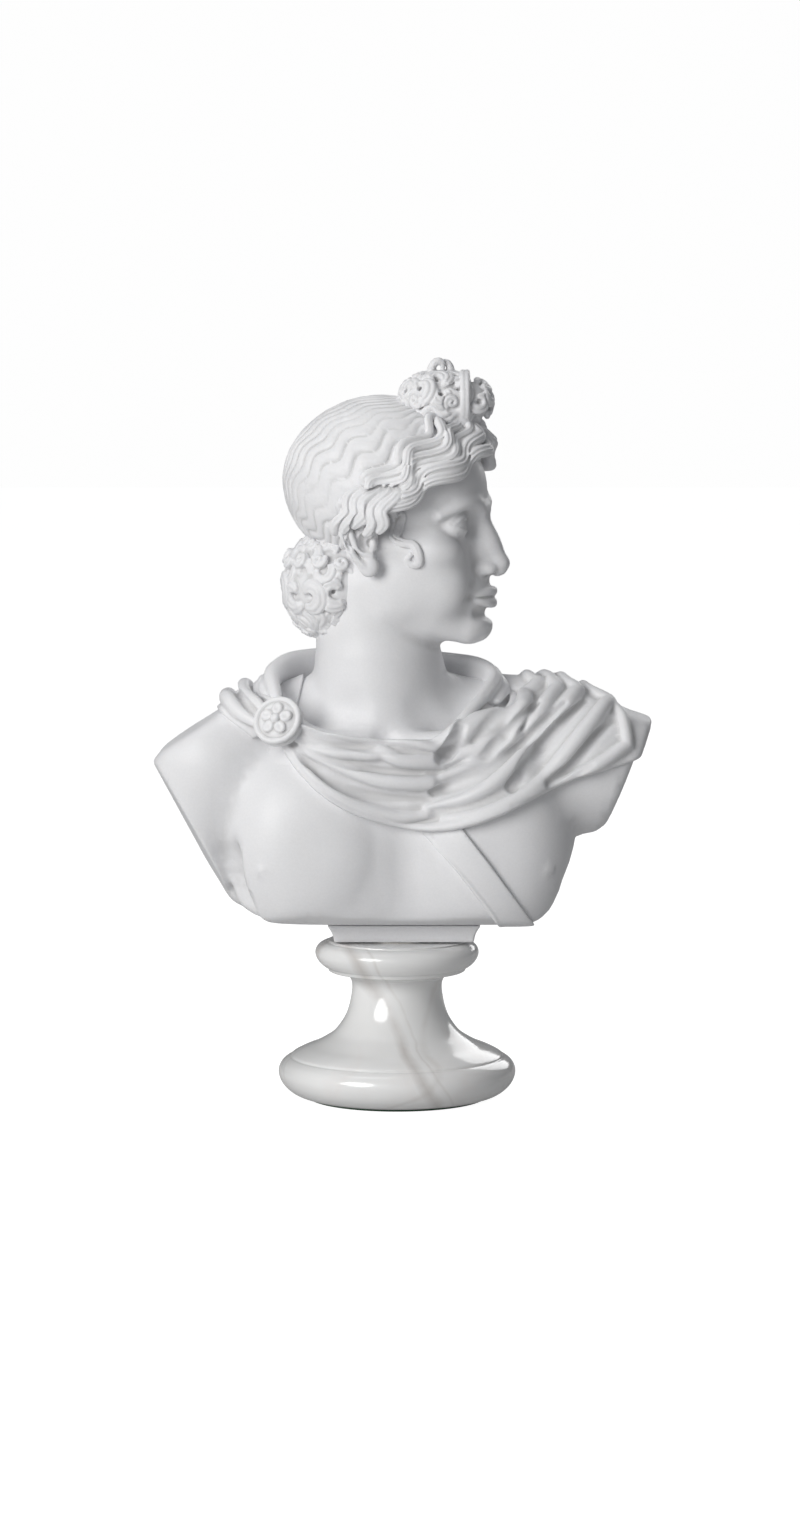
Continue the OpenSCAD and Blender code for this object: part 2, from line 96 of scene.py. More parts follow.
def make_camera():
    data = bpy.data.cameras.new("camera")
    data.lens, data.sensor_width = VIEW_LENS, VIEW_SENSOR
    bpy.context.scene.camera = aimed(data, EYE * MM, Vector((VIEW_AIM - EYE) * MM))


# ---------------------------------------------------------------- clay
def curve(points, spacing):
    """A smooth curve through the points, in steps of about spacing, and how far along each is (0 to 1)."""
    p = np.array(points, float)
    if len(p) == 2:
        n = max(2, int(np.linalg.norm(p[1] - p[0]) / spacing) + 1)
        t = np.linspace(0, 1, n)
        return p[0] + t[:, None] * (p[1] - p[0]), t
    ends = np.vstack([2 * p[0] - p[1], p, 2 * p[-1] - p[-2]])
    out = []
    for a, b, c, d in zip(ends, ends[1:], ends[2:], ends[3:]):
        n = max(2, int(np.linalg.norm(c - b) / spacing) + 1)
        t = np.linspace(0, 1, n, endpoint=False)[:, None]
        out.append(0.5 * (2 * b + (c - a) * t + (2 * a - 5 * b + 4 * c - d) * t ** 2
                          + (3 * b - a - 3 * c + d) * t ** 3))
    q = np.vstack(out + [p[-1:]])
    s = np.concatenate([[0], np.cumsum(np.linalg.norm(np.diff(q, axis=0), axis=1))])
    return q, s / s[-1]


def along(values, t):
    """Values given at even steps along a curve, read at t."""
    v = np.atleast_1d(np.array(values, float))
    return np.interp(t, np.linspace(0, 1, len(v)), v) if len(v) > 1 else np.full(len(t), v[0])


def spread(values, count):
    return along(values, np.linspace(0, 1, count))


def join(a, b, k):
    """The smaller of two distances, with a soft fillet of size k where they meet."""
    low = np.minimum(a, b)
    if k > 0:
        h = np.maximum(k - np.abs(a - b), 0)
        low -= h * h / (4 * k)
    return low


def outline(points, x, z):
    """Signed distance from the points (x, z) of a plane to a closed outline, negative inside."""
    p = np.array(points, float)
    best = np.full(np.broadcast(x, z).shape, 1e9)
    inside = np.zeros(best.shape, bool)
    for (ax, az), (bx, bz) in zip(p, np.roll(p, -1, axis=0)):
        ex, ez, wx, wz = bx - ax, bz - az, x - ax, z - az
        h = np.clip((wx * ex + wz * ez) / (ex * ex + ez * ez + 1e-9), 0, 1)
        best = np.minimum(best, (wx - h * ex) ** 2 + (wz - h * ez) ** 2)
        inside ^= ((az > z) != (bz > z)) & (wx < ex * (z - az) / (bz - az + 1e-12))
    return np.where(inside, -1, 1) * np.sqrt(best)


class Clay:
    """Clay in a box, held as distances in mm to its skin on a grid of points step apart."""

    def __init__(self, low, high, step):
        self.low, self.step = np.array(low, float), step * COARSE
        self.n = np.ceil((np.array(high, float) - self.low) / self.step).astype(int) + 1
        self.d = np.full(self.n, FAR, np.float32)

    def part(self, low, high):
        """The slices of a smaller box of the grid, and the coordinates of its points."""
        a = np.clip(np.floor((low - self.low) / self.step).astype(int), 0, self.n)
        b = np.clip(np.ceil((high - self.low) / self.step).astype(int) + 1, 0, self.n)
        if (b <= a).any():
            return None, None
        axes = [(self.low[i] + self.step * np.arange(a[i], b[i])).astype(np.float32) for i in range(3)]
        x, y, z = axes
        return tuple(map(slice, a, b)), (x[:, None, None], y[None, :, None], z[None, None, :])

    def all_points(self):
        return self.part(self.low, self.low + self.step * self.n)[1]

    def flat_region(self, points):
        """Signed distance to an outline seen straight from the front, at every point of the grid."""
        x, _, z = self.all_points()
        flat = outline(points, x[:, 0, :].astype(float), z[:, 0, :].astype(float))
        return flat.astype(np.float32)[:, None, :]

    def trim(self, region, k):
        """Cuts away what lies outside a region, which is negative inside."""
        self.d = -join(-self.d, -region.astype(np.float32), k)

    def work(self, cut, new, k, carve):
        old = self.d[cut]
        self.d[cut] = -join(-old, new, k) if carve else join(old, new, k)

    def ball(self, c, r, k=0.0, carve=False, turn=None):
        """An ellipsoid of radii r; turn holds its three axes as rows."""
        c, r = np.array(c, float), np.ones(3) * np.array(r, float)
        reach = (r if turn is None else np.ones(3) * r.max()) + k + 3 * self.step
        cut, p = self.part(c - reach, c + reach)
        if cut is None:
            return
        p = [p[i] - np.float32(c[i]) for i in range(3)]
        if turn is not None:
            p = [sum(np.float32(row[i]) * p[i] for i in range(3)) for row in turn]
        r = r.astype(np.float32)
        s = [q * q for q in p]
        k0 = np.sqrt(s[0] / r[0] ** 2 + s[1] / r[1] ** 2 + s[2] / r[2] ** 2)
        k1 = np.sqrt(s[0] / r[0] ** 4 + s[1] / r[1] ** 4 + s[2] / r[2] ** 4)
        self.work(cut, k0 * (k0 - 1) / np.maximum(k1, np.float32(1e-6)), np.float32(k), carve)

    def stroke(self, points, radii, k=0.0, carve=False, normals=None, flat=1.0):
        """A rope along the points. With normals, flat is its thickness along them as a share of its width."""
        p = np.array(points, float)
        r = spread(radii, len(p))
        room = k + 3 * self.step
        cut, _ = self.part(p.min(0) - r.max() - room, p.max(0) + r.max() + room)
        if cut is None:
            return
        layer = np.full([s.stop - s.start for s in cut], FAR, np.float32)
        base = np.array([s.start for s in cut])
        squeeze = np.float32(1 / flat ** 2 - 1)
        for i in range(len(p) - 1):
            a, b, ra, rb = p[i], p[i + 1], r[i], r[i + 1]
            wide = max(ra, rb) + room
            sub, q = self.part(np.minimum(a, b) - wide, np.maximum(a, b) + wide)
            if sub is None:
                continue
            e = (b - a).astype(np.float32)
            q = [q[j] - np.float32(a[j]) for j in range(3)]
            h = np.clip((q[0] * e[0] + q[1] * e[1] + q[2] * e[2]) / np.float32(max(e @ e, 1e-9)), 0, 1)
            q = [q[j] - h * e[j] for j in range(3)]
            square = q[0] * q[0] + q[1] * q[1] + q[2] * q[2]
            size = np.float32(ra) + np.float32(rb - ra) * h
            if normals is None:
                d = np.sqrt(square) - size
            else:
                n = normals[i].astype(np.float32)
                up = q[0] * n[0] + q[1] * n[1] + q[2] * n[2]
                up *= up
                far = np.sqrt(square + squeeze * up) + np.float32(1e-4)
                slope = np.sqrt(square + (squeeze * squeeze + 2 * squeeze) * up) / far
                d = (far - size) / np.maximum(slope, np.float32(0.5))
            at = tuple(slice(s.start - o, s.stop - o) for s, o in zip(sub, base))
            layer[at] = np.minimum(layer[at], d)
        self.work(cut, layer, np.float32(k), carve)

    def at(self, p):
        """Distances at points, between the grid's."""
        g = (np.asarray(p, float) - self.low) / self.step
        i = np.clip(np.floor(g).astype(int), 0, self.n - 2)
        f = np.clip(g - i, 0, 1)
        out = 0
        for cx in (0, 1):
            for cy in (0, 1):
                for cz in (0, 1):
                    w = (np.where(cx, f[:, 0], 1 - f[:, 0]) * np.where(cy, f[:, 1], 1 - f[:, 1])
                         * np.where(cz, f[:, 2], 1 - f[:, 2]))
                    out = out + w * self.d[i[:, 0] + cx, i[:, 1] + cy, i[:, 2] + cz]
        return out

    def normal(self, p):
        e = self.step
        g = np.stack([self.at(p + e * u) - self.at(p - e * u) for u in np.eye(3)], axis=1)
        return units(g, 1e-9)

    def land(self, points, lift=0.0):
        """The points moved straight onto the skin, or lift above it, and the skin's normals there."""
        p = np.array(points, float)
        for _ in range(LAND_STEPS):
            p = p - np.clip(self.at(p) - lift, -3, 3)[:, None] * self.normal(p) * 0.8
        return p, self.normal(p)

    def hit(self, start, way):
        """Where straight lines from the start points along way first meet the skin."""
        p, way = np.array(start, float), np.asarray(way, float)
        high = self.low + self.step * (self.n - 1)
        enter = np.where(way > 0, self.low - p, high - p) / np.where(np.abs(way) < 1e-6, 1e-6, way)
        enter = np.where(np.abs(way) < 1e-6, -1e9, enter)
        p = p + np.maximum(enter.max(1), 0)[:, None] * way
        for _ in range(HIT_STEPS):
            d = self.at(p)
            p = p + np.where(d > 0.02, np.clip(d * 0.6, 0.05, 3), 0)[:, None] * way
        return p

    def rope(self, points, radii, k=0.0, carve=False):
        """A stroke along a smooth curve through the points."""
        p, t = curve(points, max(1.2 * self.step, 0.55 * float(np.max(radii))))
        self.stroke(p, along(radii, t), k, carve)

    def soften(self):
        for axis in range(3):
            a = np.swapaxes(self.d, 0, axis)
            b = a.copy()
            b[1:-1] = 0.25 * (a[:-2] + a[2:]) + 0.5 * a[1:-1]
            self.d = np.ascontiguousarray(np.swapaxes(b, 0, axis))

    def cast(self, name, place=None):
        """A mesh of the skin in metres, with its normals and a measure of how hollow each place is."""
        self.soften()
        step, d = self.step, self.d
        for face in (d[0], d[-1], d[:, 0], d[:, -1], d[:, :, 0], d[:, :, -1]):
            np.maximum(face, step, out=face)
        grid = vdb.FloatGrid(3 * step)
        grid.copyFromArray(np.clip(d, -3 * step, 3 * step), tolerance=0)
        points, triangles, quads = grid.convertToPolygons(0.0, CAST_ADAPT)
        xyz = self.low + step * np.asarray(points, float)
        normals = self.normal(xyz)
        broad = Clay(self.low, self.low + 2 * step, step)
        m = self.n // 3 * 3
        broad.d = np.clip(d, -6 * step, 6 * step)[:m[0], :m[1], :m[2]].reshape(
            m[0] // 3, 3, m[1] // 3, 3, m[2] // 3, 3).mean((1, 3, 5))
        broad.low, broad.step, broad.n = self.low + step, 3 * step, np.array(broad.d.shape)
        broad.soften()
        hollow = np.clip(-broad.at(xyz) / step, -1, 1)
        if place is not None:
            tips = place(xyz + normals)
            xyz = place(xyz)
            normals = units(tips - xyz)
        faces = [q for q in (np.asarray(triangles), np.asarray(quads)) if len(q)]
        return solid(name, xyz, faces, normals, hollow)


def solid(name, xyz, faces, normals=None, hollow=None):
    """A mesh object from points in mm and arrays of triangles and quads."""
    mesh = bpy.data.meshes.new(name)
    if normals is not None:
        sample = faces[0][:2000]
        a, b, c = (xyz[sample[:, i]] for i in range(3))
        if np.sum(np.cross(b - a, c - a) * normals[sample[:, 0]]) < 0:
            faces = [f[:, ::-1] for f in faces]
    corners = np.concatenate([f.reshape(-1) for f in faces]).astype(np.int32)
    sizes = np.concatenate([np.full(len(f), f.shape[1]) for f in faces]).astype(np.int32)
    starts = np.concatenate([[0], np.cumsum(sizes)[:-1]]).astype(np.int32)
    mesh.vertices.add(len(xyz))
    mesh.vertices.foreach_set("co", (xyz * MM).astype(np.float32).reshape(-1))
    mesh.loops.add(len(corners))
    mesh.loops.foreach_set("vertex_index", corners)
    mesh.polygons.add(len(sizes))
    mesh.polygons.foreach_set("loop_start", starts)
    mesh.polygons.foreach_set("loop_total", sizes)
    mesh.update(calc_edges=True)
    mesh.polygons.foreach_set("use_smooth", np.ones(len(sizes), bool))
    if hollow is not None:
        mesh.attributes.new("hollow", "FLOAT", "POINT").data.foreach_set("value", hollow.astype(np.float32))
    mesh.validate()
    if normals is not None:
        mesh.normals_split_custom_set_from_vertices(normals.astype(np.float32))
    return link(name, mesh)


# ---------------------------------------------------------------- torso
RIGHT_CUT, RIGHT_CUT_WAY = V(-122.5, -8, 169.5), unit(V(-.86, -.14, -.49))
FRONT_OUTLINE = [
    (-122.5, 169.5), (-117, 176), (-111, 180.5), (-100, 187.5), (-89.5, 194.5), (-76, 206), (-60, 222),
    (-50, 244), (40, 244), (58, 224), (84, 212), (98, 203), (112.5, 193.5), (124.5, 190), (104.5, 139.6),
    (99.5, 132), (94, 127), (88.7, 124), (82.9, 114), (80.7, 105.7), (76.3, 97.4), (68.8, 91), (55, 89),
    (38, 88.6), (-31, 88.6), (-45, 89.2), (-58.5, 90.5), (-70, 93), (-78.5, 96.5), (-86, 99.5), (-90, 102)]


def sculpt_torso():
    """The chest and back, cut off at both arms and at the foot."""
    t = Clay((-128, -62, 84), (130, 54, 244), 0.85)
    t.ball((0, 2, 128), (82, 39, 82))
    t.ball((0, 2, 96), (74, 38, 40), 12)
    t.ball((-41, -18, 129), (44, 30.5, 54), 11)
    t.ball((47, -18, 131), (41, 30.5, 54), 11)
    t.stroke([(-8, 0, 178), (-9, -1, 240)], (36, 28.5), 14)
    for a, b in (((-8, 14, 200), (-70, 6, 187)), ((2, 14, 196), (74, 6, 191))):
        t.stroke([a, b], (15, 18), 14)
    t.ball((-90, 2, 168), (33, 31, 32), 12)
    t.stroke([(-92, 3, 168), (-111, 3, 96)], (33, 22), 5)
    t.ball((92, 2, 172), (34, 31, 32), 12)
    t.stroke([(88, 2, 166), (132, 2, 162)], (32, 29), 10)
    t.ball((-68, 14, 112), (21, 20, 42), 5)
    t.ball((68, 14, 114), (16, 20, 42), 8)
    t.ball((-46, 20, 158), (36, 21, 42), 14)
    t.ball((50, 20, 160), (36, 21, 42), 14)
    t.rope([(0, 50, 88), (2, 50, 130), (0, 50, 170), (-4, 44, 205)], (8, 8, 8, 5), 16, carve=True)
    t.rope([(3.5, -50, 142), (4, -51.5, 126), (4, -51, 106), (4, -49, 84)], (2, 7.5, 9, 9), 12, carve=True)
    for side in SIDES:
        t.rope([(-6 + side * 9, -35, 181.5), (-6 + side * 30, -36, 187), (-4 + side * 58, -26, 193),
                (-2 + side * 84, -8, 197)], (4, 5, 5, 4), 9)
        t.ball((-5 + side * 27, -37, 200), (14, 9, 9), 9, carve=True)
    t.ball((-5, -43, 183), (6.5, 6, 7), 6, carve=True)
    # the fold between the chest and the right arm, with the muscle of the back showing under it
    t.rope([(-93, -42, 152), (-91, -36, 143), (-87, -32, 133), (-83.5, -28, 123)], (2, 5, 6.5, 8), 5,
           carve=True)
    t.rope([(-83.5, -28, 124), (-80.5, -25, 112), (-79, -24, 92)], (8, 11, 13), 3, carve=True)
    for c in ((-66.5, -42.5, 119.5), (74.5, -37.5, 119.5)):
        p, n = t.land([c])
        t.ball(p[0] - 0.7 * n[0], (2.4, 1.4, 2.4), 2.5)
    x, y, z = t.all_points()
    t.trim(t.flat_region(FRONT_OUTLINE), 5.0)
    # the arm's sawn face leans a little to the front, and the foot of the bust is rounded back and front
    n = RIGHT_CUT_WAY
    t.trim((x - RIGHT_CUT[0] - 1.2) * n[0] + (y - RIGHT_CUT[1]) * n[1] + (z - RIGHT_CUT[2]) * n[2], 1.2)
    rim = np.sqrt((y / 46) ** 2 + (np.minimum(z - 104, 0) / 16) ** 2) - 1
    t.trim(rim * 16, 2.0)
    return t


# ---------------------------------------------------------------- cloth
def sight(points):
    """Lines from the eye through points (x, z) of the upright plane through the bust's middle."""
    p = np.array([(x, 0, z) for x, z in points], float)
    way = units(p - EYE)
    return p - 300 * way, way


def on_front(clay, points, spacing=3):
    """A smooth curve through places seen from the eye, laid on the clay's skin."""
    q, _ = curve([(x, z, 0) for x, z in points], spacing)
    return clay.hit(*sight(q[:, :2]))


def on_back(clay, points):
    """A smooth curve through places (x, z), laid on the back of the clay's skin."""
    q, _ = curve([(x, z, 0) for x, z in points], 3)
    start = np.column_stack([q[:, 0], np.full(len(q), 120.0), q[:, 1]])
    return clay.hit(start, np.tile(V(0, -1, 0), (len(q), 1)))


SEEN_BOX = (-140, 60), (150, 250)
CLOAK_FRONT = [
    (-66, 196), (-52, 190), (-36, 184.5), (-12, 181), (17, 180.5), (22, 184), (30, 191), (38, 199), (44, 208),
    (50, 216), (60, 232), (135, 232), (135, 176), (116.5, 169), (103.5, 164.5), (90, 161), (77, 155), (66, 149),
    (53.5, 142.5), (41, 137.5), (29, 134.5), (19, 133.8), (9, 134.6), (-4, 137.2), (-16, 140.5), (-26, 144.5),
    (-35, 150), (-42.5, 156), (-51, 165.5), (-57.5, 175.5)]
CLOAK_BACK = [(-92, 214), (-73, 190), (-68, 168), (-56, 140), (-38, 116), (-14, 101), (14, 96), (42, 102),
              (70, 120), (92, 146), (108, 168), (118, 184), (135, 196), (135, 240), (60, 240), (49, 214),
              (40, 208), (24, 206), (0, 205), (-24, 206), (-44, 204), (-60, 208), (-72, 232)]
# folds of the front: the path seen from the eye, its radii, and where over the shoulder it runs on (x and y)
FRONT_RIDGES = [
    ([(-54, 189), (-36, 183.5), (-12, 179.8), (17.5, 178.6)], (2, 2.4, 2.4, 2.2), None),
    ([(-54, 187), (-44, 180), (-22, 175), (2, 171), (18, 169)], (1.5, 2.2, 3, 3.6, 3.8), None),
    ([(-54, 184), (-36, 170), (-12.5, 161.5), (3, 159.4), (15, 159)], (1.8, 2.6, 3.4, 3.8, 3.6), None),
    ([(-56, 181), (-42, 160.5), (-24, 148.5), (-6, 144.5), (10, 143.5), (24, 144.5)],
     (1.8, 2.4, 2.6, 3, 3, 1.2), None),
    ([(-57, 178), (-50, 165), (-40.5, 155), (-26, 145.5), (-8, 139), (9, 136.6), (29, 137), (53.5, 144.8),
      (77, 156.5), (100, 168), (114, 177)], (1.6, 1.8, 2.2, 2.4, 2.6, 2.8, 3, 3.2, 3.4, 3.4, 3), (108, 18)),
    ([(19, 179), (24, 181.5), (31, 188), (37, 195), (43, 204), (48, 213)],
     (1.6, 1.8, 2.2, 3, 3.4, 3), (44, 4)),
    ([(21, 166.5), (30, 170), (41, 175.5), (52, 184.5), (62, 195), (71, 206)],
     (1.6, 2.2, 2.8, 3.6, 4.2, 4), (68, 18)),
    ([(18, 159.5), (36, 166), (52, 176.5), (66, 189.5), (80, 203)], (1.8, 2.8, 3.8, 4.4, 4), (77, 18)),
    ([(14, 147), (32, 149.5), (46, 156), (60, 168.5), (75, 186), (89, 202)],
     (1, 2.6, 4, 4.6, 4.6, 4), (85, 18)),
    ([(24, 140.5), (40, 143), (54, 147.5), (67, 155), (80, 167), (94, 184), (104, 197)],
     (1, 2.2, 3.4, 4, 4.4, 4.4, 3.6), (99, 18)),
]
# creases of the front: the path seen from the eye, its radii, and how softly it is carved
FRONT_VALLEYS = [
    ([(-50, 184.5), (-36, 179.4), (-14, 175.6), (8, 173.6)], (0.8, 1.2, 1.5, 0.2), 2.6),
    ([(-54, 180), (-40, 172.6), (-24, 167.4), (-6, 164.8), (12, 163.6)], (0.9, 1.3, 1.6, 1.6, 1), 1.4),
    ([(-54, 180), (-42, 166), (-26, 155.5), (-8, 151.5), (6, 150.6), (16, 150.8)],
     (0.9, 1.8, 2.6, 2.4, 1.6, 0.2), 2.4),
    ([(-56, 176), (-46, 161.5), (-34, 152.5), (-22, 145.8), (-8, 141.6)], (0.8, 1.2, 1.3, 0.9, 0.1), 1.4),
    ([(22.5, 171), (24.5, 174.5), (29, 180.5), (33.5, 187)], (3, 4.6, 3.8, 1.4), 1),
    ([(38, 180), (45, 187.5), (54, 198), (58, 205)], (1.2, 2.4, 2.8, 1.4), 2.4),
    ([(18.5, 154.2), (30, 157.6), (43, 163.4), (56, 172.5), (70, 186), (84, 199.5)],
     (2.4, 3, 2.4, 2, 2.4, 1.4), 1.4),
    ([(24, 164.4), (34, 169.4), (44.5, 172), (50, 178.5), (60, 189), (70, 199)],
     (0.8, 1.4, 3.2, 3, 2.6, 1.4), 1.4),
    ([(57.5, 157.2), (61, 163.5), (70, 175), (84, 191), (94, 200)], (3.2, 3.4, 3.2, 2.6, 1.4), 1.4),
    ([(76, 158.5), (88, 169), (99, 182), (108, 190)], (1.8, 2.6, 2.4, 1.4), 1.8),
    ([(58, 147.2), (70, 150.8), (84, 158.5), (98, 168)], (0.8, 1.2, 1.4, 0.8), 1.4),
]
BACK_RIDGES = [
    ([(-66, 203), (-40, 190), (-8, 182), (24, 184), (52, 196), (74, 208)], (3, 4, 4.6, 4.6, 4, 3)),
    ([(-69, 196), (-44, 173), (-12, 161), (22, 162), (56, 180), (86, 204)], (2.6, 4, 4.6, 4.8, 4.6, 3)),
    ([(-68, 186), (-48, 155), (-16, 139), (20, 139), (58, 158), (96, 194)], (2.4, 3.8, 4.6, 4.8, 4.6, 3)),
    ([(-66, 172), (-48, 139), (-18, 119), (18, 116), (56, 133), (90, 164), (108, 190)],
     (2, 3.4, 4.2, 4.6, 4.4, 4, 3)),
    ([(-62, 153), (-40, 121), (-14, 104.5), (14, 99.5), (42, 105.5), (70, 123.5), (92, 149.5), (110, 176)],
     (2.6, 3, 3, 3, 3, 3, 3, 2.6)),
]


def clay_over(under, low, high, step):
    """A new Clay whose distances are read from another one."""
    c = Clay(low, high, step)
    d = under.d
    for axis in range(3):
        g = (c.low[axis] + c.step * np.arange(c.n[axis]) - under.low[axis]) / under.step
        i = np.clip(np.floor(g).astype(int), 0, under.n[axis] - 2)
        f = np.clip(g - i, 0, 1).astype(np.float32)
        shape = [1, 1, 1]
        shape[axis] = -1
        f = f.reshape(shape)
        d = np.take(d, i, axis) * (1 - f) + np.take(d, i + 1, axis) * f
    c.d = np.ascontiguousarray(d, np.float32)
    return c


def seen_region(clay, points):
    """Signed distance to an outline seen from the eye, at every point of the clay."""
    low, high = SEEN_BOX
    x, y, z = clay.all_points()
    share = (-EYE[1] / (y - EYE[1])).astype(np.float32)
    u = np.broadcast_to(EYE[0] + (x - EYE[0]) * share, clay.d.shape)
    w = np.broadcast_to(EYE[2] + (z - EYE[2]) * share, clay.d.shape)
    gx, gz = np.meshgrid(np.arange(low[0], high[0]), np.arange(low[1], high[1]), indexing="ij")
    table = outline(points, gx.astype(float), gz.astype(float)).astype(np.float32)
    i = np.clip(u - low[0], 0, table.shape[0] - 1.001)
    j = np.clip(w - low[1], 0, table.shape[1] - 1.001)
    i0, j0 = i.astype(np.int32), j.astype(np.int32)
    i -= i0
    j -= j0
    return ((table[i0, j0] * (1 - i) + table[i0 + 1, j0] * i) * (1 - j)
            + (table[i0, j0 + 1] * (1 - i) + table[i0 + 1, j0 + 1] * i) * j)


def sculpt_cloak(torso):
    """The cloak over the chest, the left shoulder and the back: folds laid on it, creases carved between them."""
    c = clay_over(torso, (-84, -62, 90), (129, 56, 226), 0.62)
    base = c.d
    c.d = base - 2.6
    c.ball((3, -19, 161), (30, 24, 34), 12)
    laid = []
    for path, radii, over in FRONT_RIDGES:
        p = on_front(torso, path)
        size = spread(radii, len(p))
        if over:
            top, y = over
            q, _ = curve([p[-1], (top, -6, 216), (top - 5, y, 212), (top - 12, y + 10, 200)], 3)
            p = np.vstack([p, q[1:]])
            size = np.concatenate([size, np.linspace(radii[-1], 0.6, len(q) - 1)])
        thin_end = (size < 1.8) * (np.arange(len(p)) > len(p) // 2)
        laid.append((p, size, 0.8 - 2.4 * thin_end, 1.7))
    for path, radii in BACK_RIDGES:
        p = on_back(torso, path)
        laid.append((p, spread(radii, len(p)), -0.6, 6))
    # each fold is landed on the bare cloak, and what missed it is left out
    for i, (p, size, lift, k) in enumerate(laid):
        p, _ = c.land(p, lift)
        near = np.abs(c.at(p) - lift) < 1
        laid[i] = p[near], size[near], k
    for p, size, k in laid:
        c.stroke(p, size, k)
    for path, radii, k in FRONT_VALLEYS:
        p, _ = c.land(on_front(c, path), 0.1)
        c.stroke(p, 1.15 * spread(radii, len(p)), 0.8 * k, carve=True)
    part = np.clip((c.all_points()[1] + 2) / 10, 0, 1)
    c.soften()
    c.d = join(c.d, base - 0.7, 2.0)
    c.trim(seen_region(c, CLOAK_FRONT) * (1 - part) + c.flat_region(CLOAK_BACK) * part, 1.6)
    c.trim(-base - 3.5, 0)
    return c


# ---------------------------------------------------------------- turned socle and block
SOCLE = [
    (12, 1.6), (44, 1.6), (49.5, 2.0), (54, 4.2), (57.6, 7.8), (59.4, 12), (59.2, 15.6), (57.4, 18.6),
    (54.6, 20.6), (53.3, 21.0), (52.9, 21.9), (50.8, 23.2), (46.6, 25.2), (41.4, 27.3), (36.6, 29.9), (32, 33),
    (28.6, 37), (25.8, 41.6), (24, 46.6), (22.9, 52), (22.5, 56.5), (23.1, 59.8), (25, 62), (28.6, 63.3),
    (32.6, 63.9), (34.2, 64.5), (34.8, 65.8), (36.6, 66.8), (39.2, 69.2), (40.8, 72.2), (40.8, 75),
    (39.2, 77.4), (36.6, 78.8), (34.4, 79.2), (33.8, 79.9), (20, 80), (3.1, 80)]
SOCLE_BORE = [(3.1, 14.5), (12, 14.5), (12, 1.6)]
SOCLE_SIDES, SOCLE_STEP = 288, 0.9


def turned(name, profile, bore):
    """A lathed solid: a smoothed profile (radius, height) and a square-cornered bore, swept around."""
    around = SOCLE_SIDES
    p = np.vstack([curve([(r, z, 0) for r, z in profile], SOCLE_STEP)[0]] + [V(r, z, 0) for r, z in bore])
    angle = np.linspace(0, 2 * math.pi, around, endpoint=False)
    rings = np.stack([p[:, 0, None] * np.cos(angle), p[:, 0, None] * np.sin(angle),
                      np.broadcast_to(p[:, 1, None], (len(p), around))], axis=2)
    k = np.arange(around)
    after = (k + 1) % around
    quads = [np.stack([j + k, j + after, j + around + after, j + around + k], axis=1)
             for j in range(0, (len(p) - 1) * around, around)]
    thing = solid(name, rings.reshape(-1, 3), [np.concatenate(quads)])
    b = bmesh.new()
    b.from_mesh(thing.data)
    bmesh.ops.remove_doubles(b, verts=b.verts, dist=2e-6)
    bmesh.ops.recalc_face_normals(b, faces=b.faces)
    b.to_mesh(thing.data)
    b.free()
    return thing


def sculpt_block():
    """The squared block under the bust, its long sides flaring into the bust's foot."""
    low, high = (V(*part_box("plinth_block")[i]) / MM for i in (0, 1))
    c = Clay(low - 3, high + V(3, 3, 5), 0.5)
    x, y, z = c.all_points()
    mid, half = (low + high) / 2, (high - low) / 2
    up = np.clip((z - low[2]) / (high[2] - low[2]), 0, 1.3)
    flare = 3.0 - 3.0 * up ** 2.2
    qx, qy = np.abs(x - mid[0]) - (half[0] - flare - 1), np.abs(y - mid[1]) - (half[1] - 1.5 - 0.4 * flare)
    wall = np.sqrt(np.maximum(qx, 0) ** 2 + np.maximum(qy, 0) ** 2) + np.minimum(np.maximum(qx, qy), 0) - 1
    ends = np.maximum(low[2] - z, z - high[2] - 0.8)
    c.d = (-join(-wall, -ends, 1.0)).astype(np.float32)
    return c


